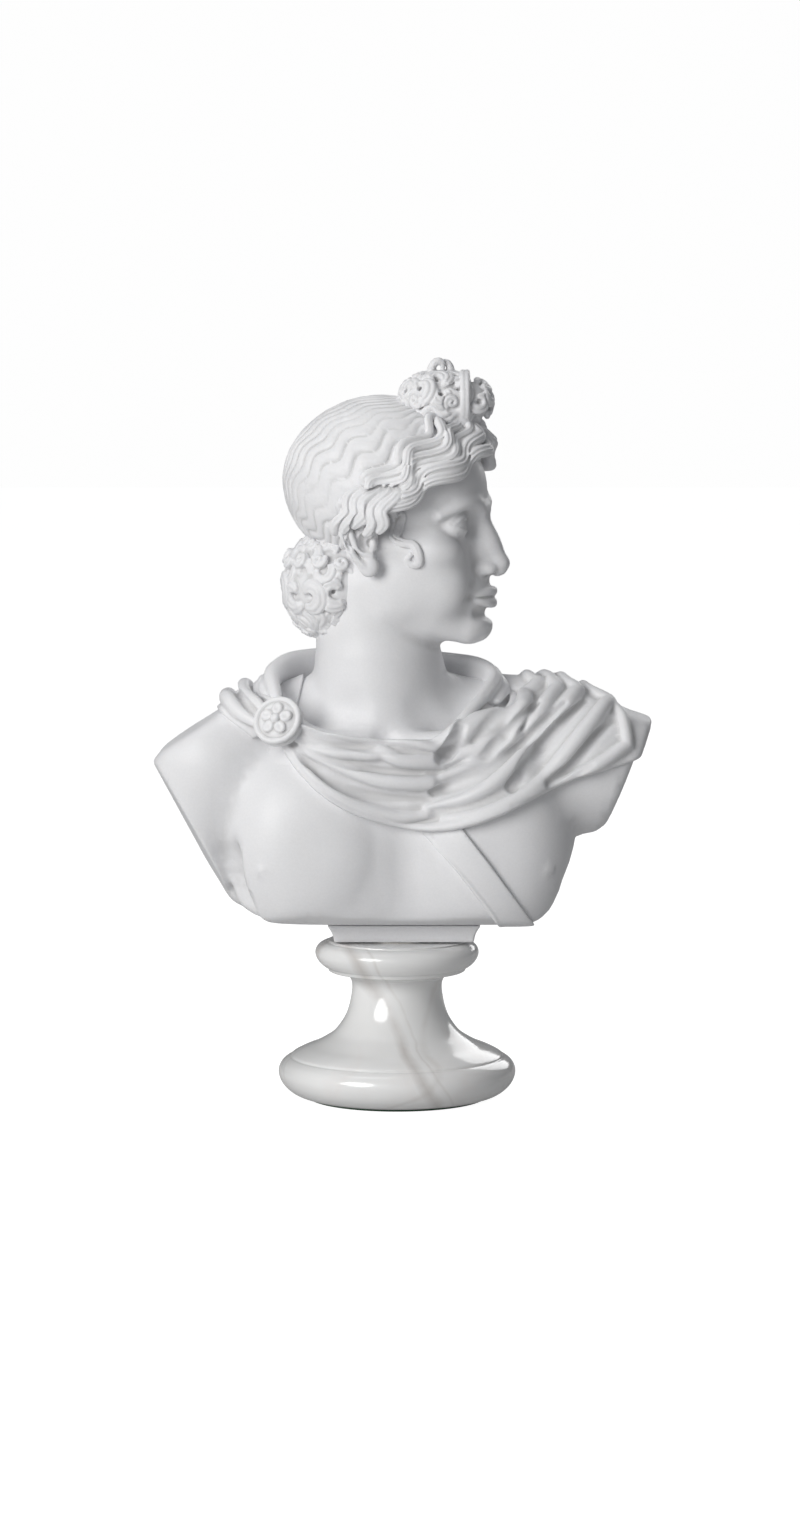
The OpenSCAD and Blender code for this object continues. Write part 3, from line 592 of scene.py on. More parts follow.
# ---------------------------------------------------------------- materials
class Nodes:
    """Short words for making a procedural material."""

    def __init__(self, name):
        self.mat = bpy.data.materials.new(name)
        self.mat.use_nodes = True
        self.tree = self.mat.node_tree
        self.shader = self.tree.nodes["Principled BSDF"]
        self.where = self.tree.nodes.new("ShaderNodeTexCoord").outputs["Object"]

    def add(self, kind, **sockets):
        node = self.tree.nodes.new("ShaderNode" + kind)
        for key, value in sockets.items():
            self.feed(node.inputs[key], value)
        return node

    def feed(self, socket, value):
        if hasattr(value, "is_output"):
            self.tree.links.new(value, socket)
        else:
            socket.default_value = value

    def noise(self, scale, detail=4.0, roughness=0.5, distortion=0.0, where=None, out="Fac"):
        return self.add("TexNoise", Vector=where or self.where, Scale=scale, Detail=detail, Roughness=roughness,
                        Distortion=distortion).outputs[out]

    def ramp(self, value, *stops):
        """A ramp of (position, colour or grey) stops."""
        node = self.add("ValToRGB", Fac=value)
        marks = node.color_ramp.elements
        for i, (place, colour) in enumerate(stops):
            mark = marks[i] if i < 2 else marks.new(place)
            mark.position = place
            mark.color = (*((colour,) * 3 if isinstance(colour, (int, float)) else colour), 1)
        return node.outputs["Color"]

    def mix(self, amount, a, b, how="MIX"):
        node = self.tree.nodes.new("ShaderNodeMix")
        node.data_type, node.blend_type = "RGBA", how
        for i, value in ((0, amount), (6, a), (7, b)):
            self.feed(node.inputs[i], value)
        return node.outputs[2]

    def math(self, how, a, b=0.0, kind="Math"):
        """A sum on numbers, or with kind VectorMath on vectors."""
        node = self.tree.nodes.new("ShaderNode" + kind)
        node.operation = how
        self.feed(node.inputs[0], a)
        self.feed(node.inputs["Scale" if how == "SCALE" else 1], b)
        return node.outputs["Value" if how == "DOT_PRODUCT" else 0]

    def bump(self, height, distance, strength=1.0, **under):
        return self.add("Bump", Height=height, Distance=distance, Strength=strength, **under).outputs["Normal"]

    def set(self, **sockets):
        for key, value in sockets.items():
            self.feed(self.shader.inputs[key.replace("_", " ")], value)
        return self.mat


UNDER_THE_SKIN = dict(Subsurface_Radius=(1.0, 0.9, 0.8), Subsurface_Scale=0.0015)


def statuary_marble():
    n = Nodes("statuary_marble")
    clouds = n.noise(14, 5, 0.55)
    base = n.ramp(clouds, (0.3, (0.80, 0.80, 0.815)), (0.7, (0.86, 0.86, 0.87)))
    grain = n.noise(900, 2, 0.6)
    base = n.mix(0.06, base, n.ramp(grain, (0.35, 0.55), (0.65, 1.0)), "MULTIPLY")
    # painted shade: the marble is darkened towards grey in the hollows of the carving, as far as each place is
    # hollow, broken up by noise
    hollow = n.add("Attribute")
    hollow.attribute_name = "hollow"
    painted_shade = n.math("MULTIPLY", hollow.outputs["Fac"], n.math("ADD", n.noise(60, 3), 0.35))
    painted_shade = n.ramp(painted_shade, (0.04, 0.0), (0.5, 1.0))
    base = n.mix(n.math("MULTIPLY", painted_shade, 0.55), base, (0.52, 0.515, 0.51, 1))
    rough = n.ramp(n.noise(45, 4), (0.3, 0.40), (0.7, 0.52))
    fine = n.bump(n.noise(420, 3, 0.6), 0.00006, 0.5)
    return n.set(Base_Color=base, Roughness=rough, Normal=n.bump(n.noise(38, 3), 0.0003, 0.25, Normal=fine),
                 Specular_IOR_Level=0.4, Subsurface_Weight=0.08, **UNDER_THE_SKIN)


# facing, distance from the middle in m, width, strength and colour of each vein of the socle
VEINS = (((0.876, 0.1, 0.484), 0.0274, 0.0042, 0.66, (0.53, 0.495, 0.47, 1)),
         ((0.876, 0.1, 0.484), 0.0345, 0.0011, 0.35, (0.58, 0.55, 0.52, 1)),
         ((0.55, -0.6, 0.58), -0.008, 0.0016, 0.32, (0.62, 0.58, 0.55, 1)),
         ((0.5, 0.6, -0.62), -0.028, 0.002, 0.32, (0.62, 0.59, 0.56, 1)),
         ((-0.8, 0.5, 0.33), 0.052, 0.0034, 0.5, (0.56, 0.53, 0.5, 1)),
         ((0.2, 0.85, -0.5), 0.03, 0.0024, 0.35, (0.60, 0.57, 0.55, 1)))


def veined_marble():
    n = Nodes("veined_marble")
    push = n.math("SCALE", n.noise(16, 5, out="Color"), 0.018, "VectorMath")
    bent = n.math("ADD", n.where, push, "VectorMath")
    cloud = n.ramp(n.noise(9, 4, 0.55), (0.35, (0.84, 0.84, 0.835)), (0.65, (0.93, 0.93, 0.925)))
    warm = n.ramp(n.noise(22, 4, 0.6, 0.6), (0.52, 0.0), (0.72, 1.0))
    base = n.mix(n.math("MULTIPLY", warm, 0.35), cloud, (0.86, 0.79, 0.76, 1))
    patch = n.ramp(n.noise(30, 4, 0.6), (0.35, 0.35), (0.6, 1.0))
    for facing, shift, width, weight, tone in VEINS:
        # a vein shows where the bent marble crosses a plane
        gap = n.math("ABSOLUTE", n.math("SUBTRACT", n.math("DOT_PRODUCT", bent, facing, "VectorMath"), shift))
        mark = n.ramp(n.math("DIVIDE", gap, width), (0.0, 1.0), (0.35, 0.7), (1.0, 0.0))
        base = n.mix(n.math("MULTIPLY", n.math("MULTIPLY", mark, patch), weight), base, tone)
    rough = n.ramp(n.noise(70, 4), (0.3, 0.10), (0.7, 0.2))
    return n.set(Base_Color=base, Roughness=rough, Normal=n.bump(n.noise(30, 2), 0.0002, 0.15),
                 Coat_Weight=0.35, Coat_Roughness=0.06, Subsurface_Weight=0.06, **UNDER_THE_SKIN)


def metal(name, colour, rough):
    n = Nodes(name)
    stretched = n.add("Mapping", Vector=n.where, Scale=(1, 1, 0.06)).outputs["Vector"]
    brushed = n.noise(1500, 3, 0.6, where=stretched)
    tarnish = n.ramp(n.noise(120, 4), (0.4, 0.0), (0.75, 0.6))
    tint = n.mix(tarnish, (*colour, 1), (*(0.6 * c for c in colour), 1))
    return n.set(Base_Color=tint, Metallic=1.0, Roughness=n.ramp(brushed, (0.3, rough), (0.7, rough + 0.15)),
                 Normal=n.bump(brushed, 0.00002, 0.5))


def felt_cloth():
    n = Nodes("felt_cloth")
    fibres = n.noise(1800, 5, 0.75, 1.5)
    base = n.ramp(fibres, (0.3, (0.018, 0.05, 0.028)), (0.7, (0.05, 0.12, 0.07)))
    return n.set(Base_Color=base, Roughness=0.95, Sheen_Weight=0.6, Sheen_Roughness=0.5,
                 Normal=n.bump(fibres, 0.0003, 0.9))


def mortar():
    n = Nodes("bedding_mortar")
    sand = n.noise(1300, 4, 0.7)
    return n.set(Base_Color=n.ramp(sand, (0.3, (0.45, 0.44, 0.41)), (0.7, (0.62, 0.61, 0.58))), Roughness=0.9,
                 Normal=n.bump(sand, 0.0002, 0.8))


def clothe(thing, material):
    thing.data.materials.clear()
    thing.data.materials.append(material)


def keep_node(node, material):
    """A CAD node that stays as it is and gets its own material."""
    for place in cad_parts[node].material_slots:
        place.material = material


# ---------------------------------------------------------------- room
WORLD_GLOW = 0.16
# the floor's own light as the camera sees it, and as everything else does
FLOOR_SEEN, FLOOR_GLOW = 0.94, 0.13
FLOOR_HALF = 6000
# name, place and aim in m, size, watts, tint
LAMPS = (("key", (-1.2, -1.45, 0.82), (0, 0, 0.2), 1.2, 26, (1, 0.995, 0.985)),
         ("top", (-0.35, 0.1, 1.6), (0, 0, 0.25), 1.0, 4.5, (1, 1, 1)),
         ("fill", (-0.5, -1.9, 0.35), (0, 0, 0.1), 1.5, 2.6, (0.97, 0.98, 1)),
         ("back", (0.9, 1.7, 1.0), (0, 0, 0.2), 1.2, 9, (1, 1, 1)))


def make_room():
    world = bpy.data.worlds.new("studio")
    bpy.context.scene.world = world
    world.use_nodes = True
    tree = world.node_tree
    glow, seen = tree.nodes["Background"], tree.nodes.new("ShaderNodeBackground")
    glow.inputs["Color"].default_value = (0.95, 0.97, 1.0, 1)
    glow.inputs["Strength"].default_value = WORLD_GLOW
    seen.inputs["Color"].default_value = (0.99, 0.99, 0.99, 1)
    pick, ray = tree.nodes.new("ShaderNodeMixShader"), tree.nodes.new("ShaderNodeLightPath")
    surface = tree.nodes["World Output"].inputs["Surface"]
    for out, into in ((ray.outputs["Is Camera Ray"], pick.inputs[0]), (glow.outputs[0], pick.inputs[1]),
                      (seen.outputs[0], pick.inputs[2]), (pick.outputs[0], surface)):
        tree.links.new(out, into)
    for name, place, aim, size, watts, tint in LAMPS:
        data = bpy.data.lights.new(name, "AREA")
        data.shape, data.size, data.energy, data.color = "DISK", size, watts, tint
        aimed(data, place, Vector(aim) - Vector(place))
    corners = V(-1, -1, 0, 1, -1, 0, 1, 1, 0, -1, 1, 0).reshape(4, 3) * FLOOR_HALF
    floor = solid("floor", corners, [np.array([[0, 1, 2, 3]])])
    n = Nodes("pale_floor")
    lit = n.math("MULTIPLY", n.add("LightPath").outputs["Is Camera Ray"], FLOOR_SEEN - FLOOR_GLOW)
    clothe(floor, n.set(Base_Color=n.ramp(n.noise(3, 2), (0.3, 0.36), (0.7, 0.39)), Roughness=0.9,
                        Specular_IOR_Level=0.1, Emission_Color=(1, 1, 1, 1),
                        Emission_Strength=n.math("ADD", lit, FLOOR_GLOW)))
    bpy.context.scene.view_settings.view_transform = "Standard"


# ---------------------------------------------------------------- head
HEAD_SCALE = 0.51
HEAD_AT = V(-4.6, -2, 283)
HEAD_TURN = math.radians(14)
HEAD_AXES = np.array([[math.cos(HEAD_TURN), -math.sin(HEAD_TURN), 0],
                      [math.sin(HEAD_TURN), math.cos(HEAD_TURN), 0], [0, 0, 1]])


def from_head(p):
    """World places in mm of points given life size in the head's frame."""
    return HEAD_AT + HEAD_SCALE * (np.asarray(p, float) @ HEAD_AXES)


def to_head(p):
    return ((np.asarray(p, float) - HEAD_AT) @ HEAD_AXES.T) / HEAD_SCALE


def bib_mask(x, z):
    """Where the skin inside the neckline is: 0 well inside, growing outward in mm."""
    return np.maximum(np.maximum(-62 - x, x - 46), 176 - z)


def sculpt_head(torso):
    """The neck, the skull under the hair and the face, with the skin inside the neckline."""
    c = Clay((-108, -96, -224), (134, 96, 146), 0.92)
    x, y, z = c.all_points()
    # neck and upper chest, read from the torso
    low = c.part(c.low, V(134, 96, -70))[0]
    g = np.stack(np.broadcast_arrays(x[low[0]], y[:, low[1]], z[:, :, low[2]]), axis=-1).reshape(-1, 3)
    w = from_head(g)
    d = np.maximum(torso.at(w), bib_mask(w[:, 0], w[:, 2]) - 5) + 0.4 * np.maximum(w[:, 2] - 224, 0)
    d /= HEAD_SCALE
    c.d[low] = np.minimum(c.d[low], d.reshape(c.d[low].shape).astype(np.float32))
    c.stroke(to_head([(-8.6, -1, 216), (-15, -2, 258)]), (58.5, 55), 12)
    # skull, face and jaw
    c.ball((-5, 0, 50), (92, 73, 78), 8)
    c.ball((30, 0, 46), (68, 62, 60), 10)
    c.ball((38, 0, -20), (52, 54, 82), 14)
    for s in SIDES:
        c.stroke([(4, s * 48, -40), (14, s * 45, -62), (50, s * 30, -80), (80, s * 14, -89)], (17, 16, 14, 14),
                 14)
        c.ball((60, s * 45, -13), (25, 20, 17), 12)
        c.stroke([(56, s * 51, -10), (6, s * 63, -6)], (11, 11), 16)
        c.ball((28, s * 50, -40), (24, 15, 32), 16)
        c.ball((56, s * 33, -46), (33, 25, 34), 14)
        c.ball((34, s * 74, 34), (26, 9, 20), 14, carve=True)
    c.ball((52, 0, -76), (40, 34, 24), 12)
    c.ball((87, 0, -86), (17.5, 20, 16.5), 12)
    c.ball((76, 0, -54), (27, 27, 24), 10)
    # brows, nose and sockets
    for s in SIDES:
        c.rope([(95, s * 9, 27), (93, s * 22, 32.5), (84, s * 38, 32), (66, s * 52, 22)], (5.5, 5.5, 4.6, 2),
               11)
    c.stroke([(91, 0, 24), (99, 0, 2), (112.5, 0, -25)], (8.5, 7.6, 8), 9)
    c.ball((93, 0, -14), (19, 13.5, 27), 9)
    for s in SIDES:
        c.ball((99, s * 30, 16), (22, 15, 9.5), 9, carve=True)
        c.ball((92, s * 20, 10), (12, 6, 8), 8, carve=True)
    c.ball((111.5, 0, -26.5), (9, 8.4, 8.2), 6)
    for s in SIDES:
        c.ball((101.5, s * 11.2, -30.5), (9.5, 5.8, 6.4), 5)
    c.stroke([(113, 0, -33), (99, 0, -38)], (4.2, 5), 4)
    for s in SIDES:
        c.ball((105.5, s * 6.6, -38.5), (6.2, 3.1, 5), 1.6, carve=True)
        c.rope([(103, s * 17.5, -23), (96, s * 20, -31), (96, s * 18.5, -38)], (1.4, 1.8, 1.2), 4, carve=True)
        c.rope([(96, s * 22, -36), (92, s * 29, -48), (87, s * 34, -60)], (1.2, 1.6, 1.0), 9, carve=True)
    # lips
    c.rope([(104.5, 0, -40), (107.5, 0, -49)], (2.4, 3), 5, carve=True)
    for s in SIDES:
        c.rope([(91, s * 24.5, -57.6), (99, s * 15, -54.8), (104.4, s * 5.5, -52.6), (104.6, 0, -53.6)],
               (0.8, 3.0, 4.3, 4.0), 3)
        c.rope([(91, s * 24, -58.6), (98, s * 15, -62), (102.6, s * 6, -64.2), (103, 0, -64.4)],
               (0.8, 4.0, 5.4, 5.5), 3)
        c.ball((91.5, s * 27, -58.5), (4.5, 3, 3), 6, carve=True)
    for s in SIDES:
        c.rope([(90, s * 25.5, -58), (101, s * 15, -58.4), (108.5, s * 6, -58.2), (109.5, 0, -58.8)],
               (0.8, 1.15, 1.15, 1.15), 2.0, carve=True)
    c.rope([(95, -17, -74), (101.5, 0, -76), (95, 17, -74)], (3, 4, 3), 8, carve=True)
    # eyes: lids as a shell round the ball, opened by a lens, the ball left blank
    for s in SIDES:
        eye, lid, ball = V(72.5, s * 31, 12), 15.4, 13.6
        c.ball(eye, lid, 4)
        cut, (px, py, pz) = c.part(eye - 24, eye + 24)
        out = np.sqrt((px - eye[0]) ** 2 + (py - eye[1]) ** 2 + (pz - eye[2]) ** 2)
        tilt = 0.06 * (np.abs(py) - 31)
        side = py - eye[1]

        def disc(rise):
            r = (14.2 ** 2 + rise ** 2) / (2 * abs(rise))
            v = pz - eye[2] - tilt - rise + math.copysign(r, rise)
            return np.sqrt(side ** 2 + v ** 2) - r
        lens = np.maximum(disc(6.3), disc(-3.6))
        opening = np.maximum(np.maximum(lens, ball - out), eye[0] + 1.5 - px)
        c.work(cut, np.broadcast_to(opening, c.d[cut].shape).astype(np.float32), np.float32(0.9), True)
        c.ball(eye, ball, 0.3)
        c.rope([(84.5, s * 16.5, 16.5), (88.5, s * 24, 21.5), (87.8, s * 32, 23), (83, s * 41, 20.5),
                (76, s * 47, 15)], (0.9, 1.4, 1.5, 1.4, 0.9), 2.6, carve=True)
        c.rope([(84, s * 20, 4.5), (87.2, s * 30, 0.8), (82, s * 41, 4.5)], (0.6, 1.0, 0.6), 3, carve=True)
    return c


def sculpt_ear(side):
    """An ear: rim, inner ridge, hollow, and lobe. Side is 1 on the left, -1 on the right."""
    c = Clay((-36, side * 84 - 24, -48), (30, side * 84 + 24, 44), 0.7)

    def leaning(*points):
        return [(f - 0.18 * u + 2, side * (l + 0.10 * abs(f)), u) for f, l, u in points]

    c.ball((-6, side * 75, 0), (15, 8, 27), 3)
    c.ball((0, side * 78, -24), (9, 5, 10), 4)
    c.rope(leaning((6, 78, 4), (9, 81, 17), (4, 84, 28), (-8, 87, 33), (-19, 88, 27), (-24, 87, 14),
                   (-23, 86, 0), (-17, 84, -14), (-10, 82, -24)),
           (2.6, 3, 3.2, 3.3, 3.3, 3.2, 3, 2.8, 2.6), 2.2)
    c.rope(leaning((-14, 83, 22), (-16, 84, 10), (-14, 83.5, -3), (-8, 82, -12), (0, 81, -15)),
           (2.6, 3, 3, 2.8, 2.4), 3)
    c.ball((-1, side * 84, -2), (8, 8.5, 10), 1.6, carve=True)
    c.ball((1, side * 80, -3), (4, 9, 4.5), 1, carve=True)
    c.rope([(f, side * 88, u) for f, u in ((-13, 26), (-20, 16), (-20, 2), (-15, -10))],
           (1.4, 1.8, 1.6, 1.0), 3, carve=True)
    c.ball((6, side * 80, -4), (4, 4.2, 6.5), 3)
    c.ball((2, side * 78, -27), (8, 4.4, 8.4), 6)
    return c


# ---------------------------------------------------------------- hair
CAP_MID, CAP_SIZE = V(-4, 0, 52), V(99, 80, 83.5)
# the waves spread from the pole; reach is measured in mm on the skull
CAP_POLE, CAP_REACH, CAP_WAVE = unit(V(0.62, 0, 0.785)), 87, 37
CAP_RIDGES, CAP_STRANDS = 19, 57
HAIR_SIDE = [(110, 150), (104, 84), (90, 72), (66, 56), (44, 44), (22, 36), (6, 36), (-10, 32), (-20, 12),
             (-28, -8), (-42, -28), (-60, -40), (-118, -56), (-118, 150)]


def sculpt_cap():
    """The hair drawn back from the knot over the skull, in nested waves."""
    c = Clay((-114, -94, -52), (106, 94, 146), 0.95)
    c.ball(CAP_MID, CAP_SIZE)
    u = [(a - m) / size for a, m, size in zip(c.all_points(), CAP_MID.astype(np.float32),
                                              CAP_SIZE.astype(np.float32))]
    size = np.sqrt(u[0] ** 2 + u[1] ** 2 + u[2] ** 2) + 1e-6
    u = [a / size for a in u]
    pole = CAP_POLE.astype(np.float32)
    away = np.arccos(np.clip(pole[0] * u[0] + pole[1] * u[1] + pole[2] * u[2], -1, 1))
    turn = np.arctan2(u[1], pole[2] * u[0] - pole[0] * u[2])
    reach = away * CAP_REACH
    swell = np.clip((reach - 22) / 50, 0, 1)
    phase = 2 * np.pi * reach / CAP_WAVE + 1.6 * np.sin(2 * turn) + 0.7 * np.sin(5 * turn)
    bend = swell * 3.3 * np.sin(phase)
    wound = turn + bend / (CAP_REACH * np.maximum(np.sin(away), 0.2)) + 0.05 * np.sin(5 * turn)
    ridge, fine = np.abs(np.sin(CAP_RIDGES * wound)) ** 0.6, np.abs(np.sin(CAP_STRANDS * wound + 0.7)) ** 0.8
    depth = 2.0 + 0.9 * np.sin(3 * turn + 0.06 * reach)
    c.d -= (depth * (ridge - 0.6) + 0.45 * (fine - 0.6)).astype(np.float32)
    c.trim(c.flat_region(HAIR_SIDE), 3.0)
    return c


def on_skull(points, lift=0.0):
    """The points moved in or out onto the smooth cap of hair, and the way out of it."""
    u = units((np.asarray(points, float) - CAP_MID) / CAP_SIZE)
    n = units(u / CAP_SIZE)
    return CAP_MID + u * CAP_SIZE + n * np.reshape(lift, (-1, 1)), n


def frames(points, normals):
    """Directions across and out of a curve, at each of its points."""
    ahead = units(np.gradient(points, axis=0), 1e-9)
    n = units(normals - (normals * ahead).sum(1)[:, None] * ahead, 1e-9)
    return np.cross(ahead, n), n


def lock(c, points, r, flat, grooves, k, ends, on=None, lift=0.0):
    """A lock of hair: a flattened rope, its ends drawn in, with grooves combed along its top."""
    p, t = curve(points, max(1.2 * c.step, 0.5 * r))
    p, n = on.land(p, lift) if on else (p, np.tile(V(0, 0, 1), (len(p), 1)))
    b, n = frames(p, n)
    size = r * np.interp(t, [0, 0.15, 0.75, 1], [ends[0], 1, 1, ends[1]])
    c.stroke(p, size, k, normals=n, flat=flat)
    for g in range(grooves):
        a = (g + 1) / (grooves + 1) * 2 - 1
        q = p + b * (a * size)[:, None] + n * (flat * size * math.sqrt(1 - a * a) + 0.10 * r)[:, None]
        c.stroke(q, 0.22 * size, 0.16 * r, carve=True)


SNAIL_TURNS = 1.3


def on_ball(mid, size, turn, rise, lift=0.0):
    """A place on an ellipsoid by its bearing and height in degrees, and the way out of it."""
    t, v = math.radians(turn), math.radians(rise)
    n = V(math.cos(v) * math.cos(t), math.cos(v) * math.sin(t), math.sin(v))
    out = unit(n / size)
    return mid + n * size + lift * out, out


def drill(c, ball, turn, rise, above, below, radii):
    """A drilled hole in the middle of a curl."""
    p, n = on_ball(*ball, turn, rise)
    c.stroke([p + above * n, p - below * n], radii, 0.4, carve=True)


def snail(c, ball, turn, rise, lift, r, start, hand, droop=0.0):
    """A curl wound like a snail's shell on an ellipsoid, with a drilled middle."""
    at, n = on_ball(*ball, turn, rise, lift)
    tube, axis = 0.25 * r, unit(n - V(0, 0, droop))
    e1 = unit(np.cross(axis, V(0.3, 0.2, 0.93)))
    axes = np.array([e1, np.cross(axis, e1), axis])
    t = np.linspace(0, 1, 20)
    a = start + hand * 2 * math.pi * SNAIL_TURNS * t
    rad = (r - tube) * (1 - 0.80 * t)
    p = at + rad[:, None] * (np.cos(a)[:, None] * e1 + np.sin(a)[:, None] * axes[1]) \
        + (0.8 * tube * t)[:, None] * axis
    size = tube * (1.08 - 0.30 * t)
    c.ball(at + 1.6 * tube * axis, (r + 0.7, r + 0.7, 2.4 * tube), 0.3, carve=True, turn=axes)
    c.ball(at - 0.9 * tube * axis, (0.85 * r, 0.85 * r, 1.2 * tube), 0.5, turn=axes)
    c.stroke(p, size, 0.3)
    c.stroke(p + 1.05 * size[:, None] * axis, 0.2 * size, 0.1 * tube, carve=True)
    c.stroke([at + axis * tube * 2.6, at - axis * tube * 0.2], (0.4 * tube, 0.25 * tube), 0.4, carve=True)


def strands_along(c, p, n, t, r, strands=3, lift=0.8, ends=(0.7, 0.5), k=0.3):
    """Strands lying side by side along a path, set in a groove of their own."""
    b, n = frames(p, n)
    grow = np.interp(t, [0, 0.2, 0.8, 1], [ends[0], 1, 1, ends[1]])
    reach = (0.72 * (strands - 1) + 1) * r
    c.stroke(p + (lift + 0.6 * r) * n, (reach + 0.45 * r) * grow, 0.2 * r, carve=True, normals=n, flat=0.5)
    c.stroke(p + (lift - 0.7 * r) * n, (reach - 0.3 * r) * grow, 0.2 * r, normals=n, flat=0.45)
    for j in range(strands):
        off = j - (strands - 1) / 2
        c.stroke(p + b * (1.5 * r * off * grow[:, None]) + n * (lift - 0.3 * r * off * off), r * grow, k)


def ribbon(c, ball, points, r, strands=3, lift=0.8):
    """Strands along a path drawn on an ellipsoid."""
    mid, size = ball
    p, t = curve(points, 0.5 * r)
    p = mid + units((p - mid) / size) * size
    strands_along(c, p, (p - mid) / size ** 2, t, r, strands, lift)


def hook(c, ball, turn, rise, radius, start, sweep, r, lift, strands=3):
    """A ribbon of hair bent into a closing spiral."""
    p, n = on_ball(*ball, turn, rise)
    e = unit(np.cross(n, V(0, 0, 1)))
    a = start + np.linspace(0, sweep, 14)
    arm = (radius * np.linspace(1, 0.5, 14))[:, None]
    ribbon(c, ball, p + arm * (np.cos(a)[:, None] * e + np.sin(a)[:, None] * np.cross(n, e)), r, strands, lift)


# the roll's lower and upper edges, life size, on the left
ROLL_LOW = [(70, 4, 116), (85, 5, 101), (94, 11, 85), (91.5, 27, 75.5), (81, 43, 68), (66, 59, 58.5),
            (48, 71, 47), (30, 79, 36), (16, 84, 25), (4, 88, 13), (-6, 90, 5), (-18, 88, 0)]
ROLL_HIGH = [(58, 8, 122), (57, 22, 118), (53, 36, 110), (46, 50, 100), (37, 61, 89), (26, 70, 78),
             (14, 77, 67), (1, 81, 57), (-12, 83, 44), (-25, 83, 29), (-36, 80, 10)]
ROLL_LOCKS, ROLL_POINTS = 6, 90


def sculpt_roll(side):
    """The thick waved hair swept from the brow over the temple to the ear."""
    c = Clay((-46, min(side * 104, -2 * side), -12), (112, max(side * 104, -2 * side), 134), 0.8)
    s = np.linspace(0, 1, ROLL_POINTS)

    def edge(points):
        path, _ = curve(np.array(points) * V(1, side, 1), 3)
        return np.column_stack([along(path[:, i], s) for i in range(3)])

    low, high = edge(ROLL_LOW), edge(ROLL_HIGH)
    across = units(high - low)
    c.stroke(on_skull(0.62 * low + 0.38 * high, -3.0)[0], (8, 12, 14, 14, 13, 12, 10), 3)
    for j in range(ROLL_LOCKS):
        v = j / (ROLL_LOCKS - 1)
        wave = 2 * math.pi * (4.2 * s + 0.12 * j + (0.25 if side > 0 else 0))
        swell = np.interp(s, [0, 0.15, 1], [0.2, 1, 1])
        q = low * (1 - v) + high * v + across * (5.6 * swell * np.sin(wave + 0.5 * math.sin(1.9 * j)))[:, None]
        bulge = (14.0 - 8.5 * v) * np.interp(s, [0, 0.12, 0.5, 0.9, 1], [1.0, 1.35, 1.1, 0.9, 0.6])
        q, n = on_skull(q, bulge - 4.5 + 3.0 * np.cos(wave + 0.9 * j))
        b, n = frames(q, n)
        r = (6.4 - 1.6 * v) * (1 + 0.14 * math.sin(2.3 * j))
        size = r * np.interp(s, [0, 0.1, 0.85, 1], [0.6, 1, 1, 0.45])
        c.stroke(q, size, 0.8, normals=n, flat=0.95)
        for a in (-0.4, 0.25):
            g = q + b * (a * size)[:, None] + n * (0.85 * size * math.sqrt(1 - a * a) + 0.35)[:, None]
            c.stroke(g, 0.2 * size, 0.9, carve=True)
    # loose ends falling over the top of the ear, the hindmost laid first
    u = np.linspace(0, 1, 30)
    for j in (4, 3, 2, 1, 0):
        f, end = 29 - 9.5 * j, 13 - 10.5 * j
        q = np.column_stack([f + (end - f) * u + 3.4 * np.sin(9.5 * u + 0.7 * j),
                             side * (79 + 15.5 * np.sin(2.3 * u + 0.1)), 50 - (42 + 4 * math.sin(2.2 * j)) * u])
        out = np.column_stack([0 * u, side + 0 * u, 0.8 - 1.2 * u])
        strands_along(c, q, out, u, 2.5, ends=(0.5, 0.6), k=0.4)
    return c


KNOT = V(21.5, -8.5, 351), V(19, 16, 11.5)
KNOT_FRONT = V(38, -9, 349.5), V(8, 12.2, 9.6)
# bearing and height, radius, start and sweep of a hooked curl, and the thickness of its strands
KNOT_HOOKS = (
    (0, 72, 5.4, 0.4, 5.0, 1.5), (-160, 50, 5.4, 0.6, -4.4, 1.5), (120, 50, 5.4, 1.0, 4.4, 1.5),
    (50, 54, 5.4, 2.0, -4.4, 1.5), (-48, 58, 5.4, 5.0, -4.4, 1.5), (-100, 52, 5.6, 2.6, 4.6, 1.5),
    (178, 14, 5.4, 3.0, 4.4, 1.5), (142, 20, 5.4, 0.5, -4.6, 1.5), (104, 16, 5.4, 2.0, 4.6, 1.5),
    (66, 22, 5.4, 4.2, -4.6, 1.5), (-150, 18, 5.4, 1.2, 4.6, 1.5), (-90, 12, 5.2, 3.4, -4.2, 1.4),
    (-122, 22, 5.8, 0.4, 4.6, 1.6), (-60, 22, 5.8, 0.2, 4.4, 1.6))
KNOT_SNAILS = (-150, -14, 5.2), (-128, -4, 4.6), (-74, -6, 4.4), (150, -12, 5), (100, -8, 4.8), (180, -8, 4.8)
FRONT_HOOKS = ((-72, 2, 0.4, 4.6), (-30, 18, 3.6, -4.6), (2, -16, 1.0, 4.6), (34, 18, 2.2, 4.6),
               (74, 2, 5.0, -4.6), (-20, 62, 0.5, 4.8))


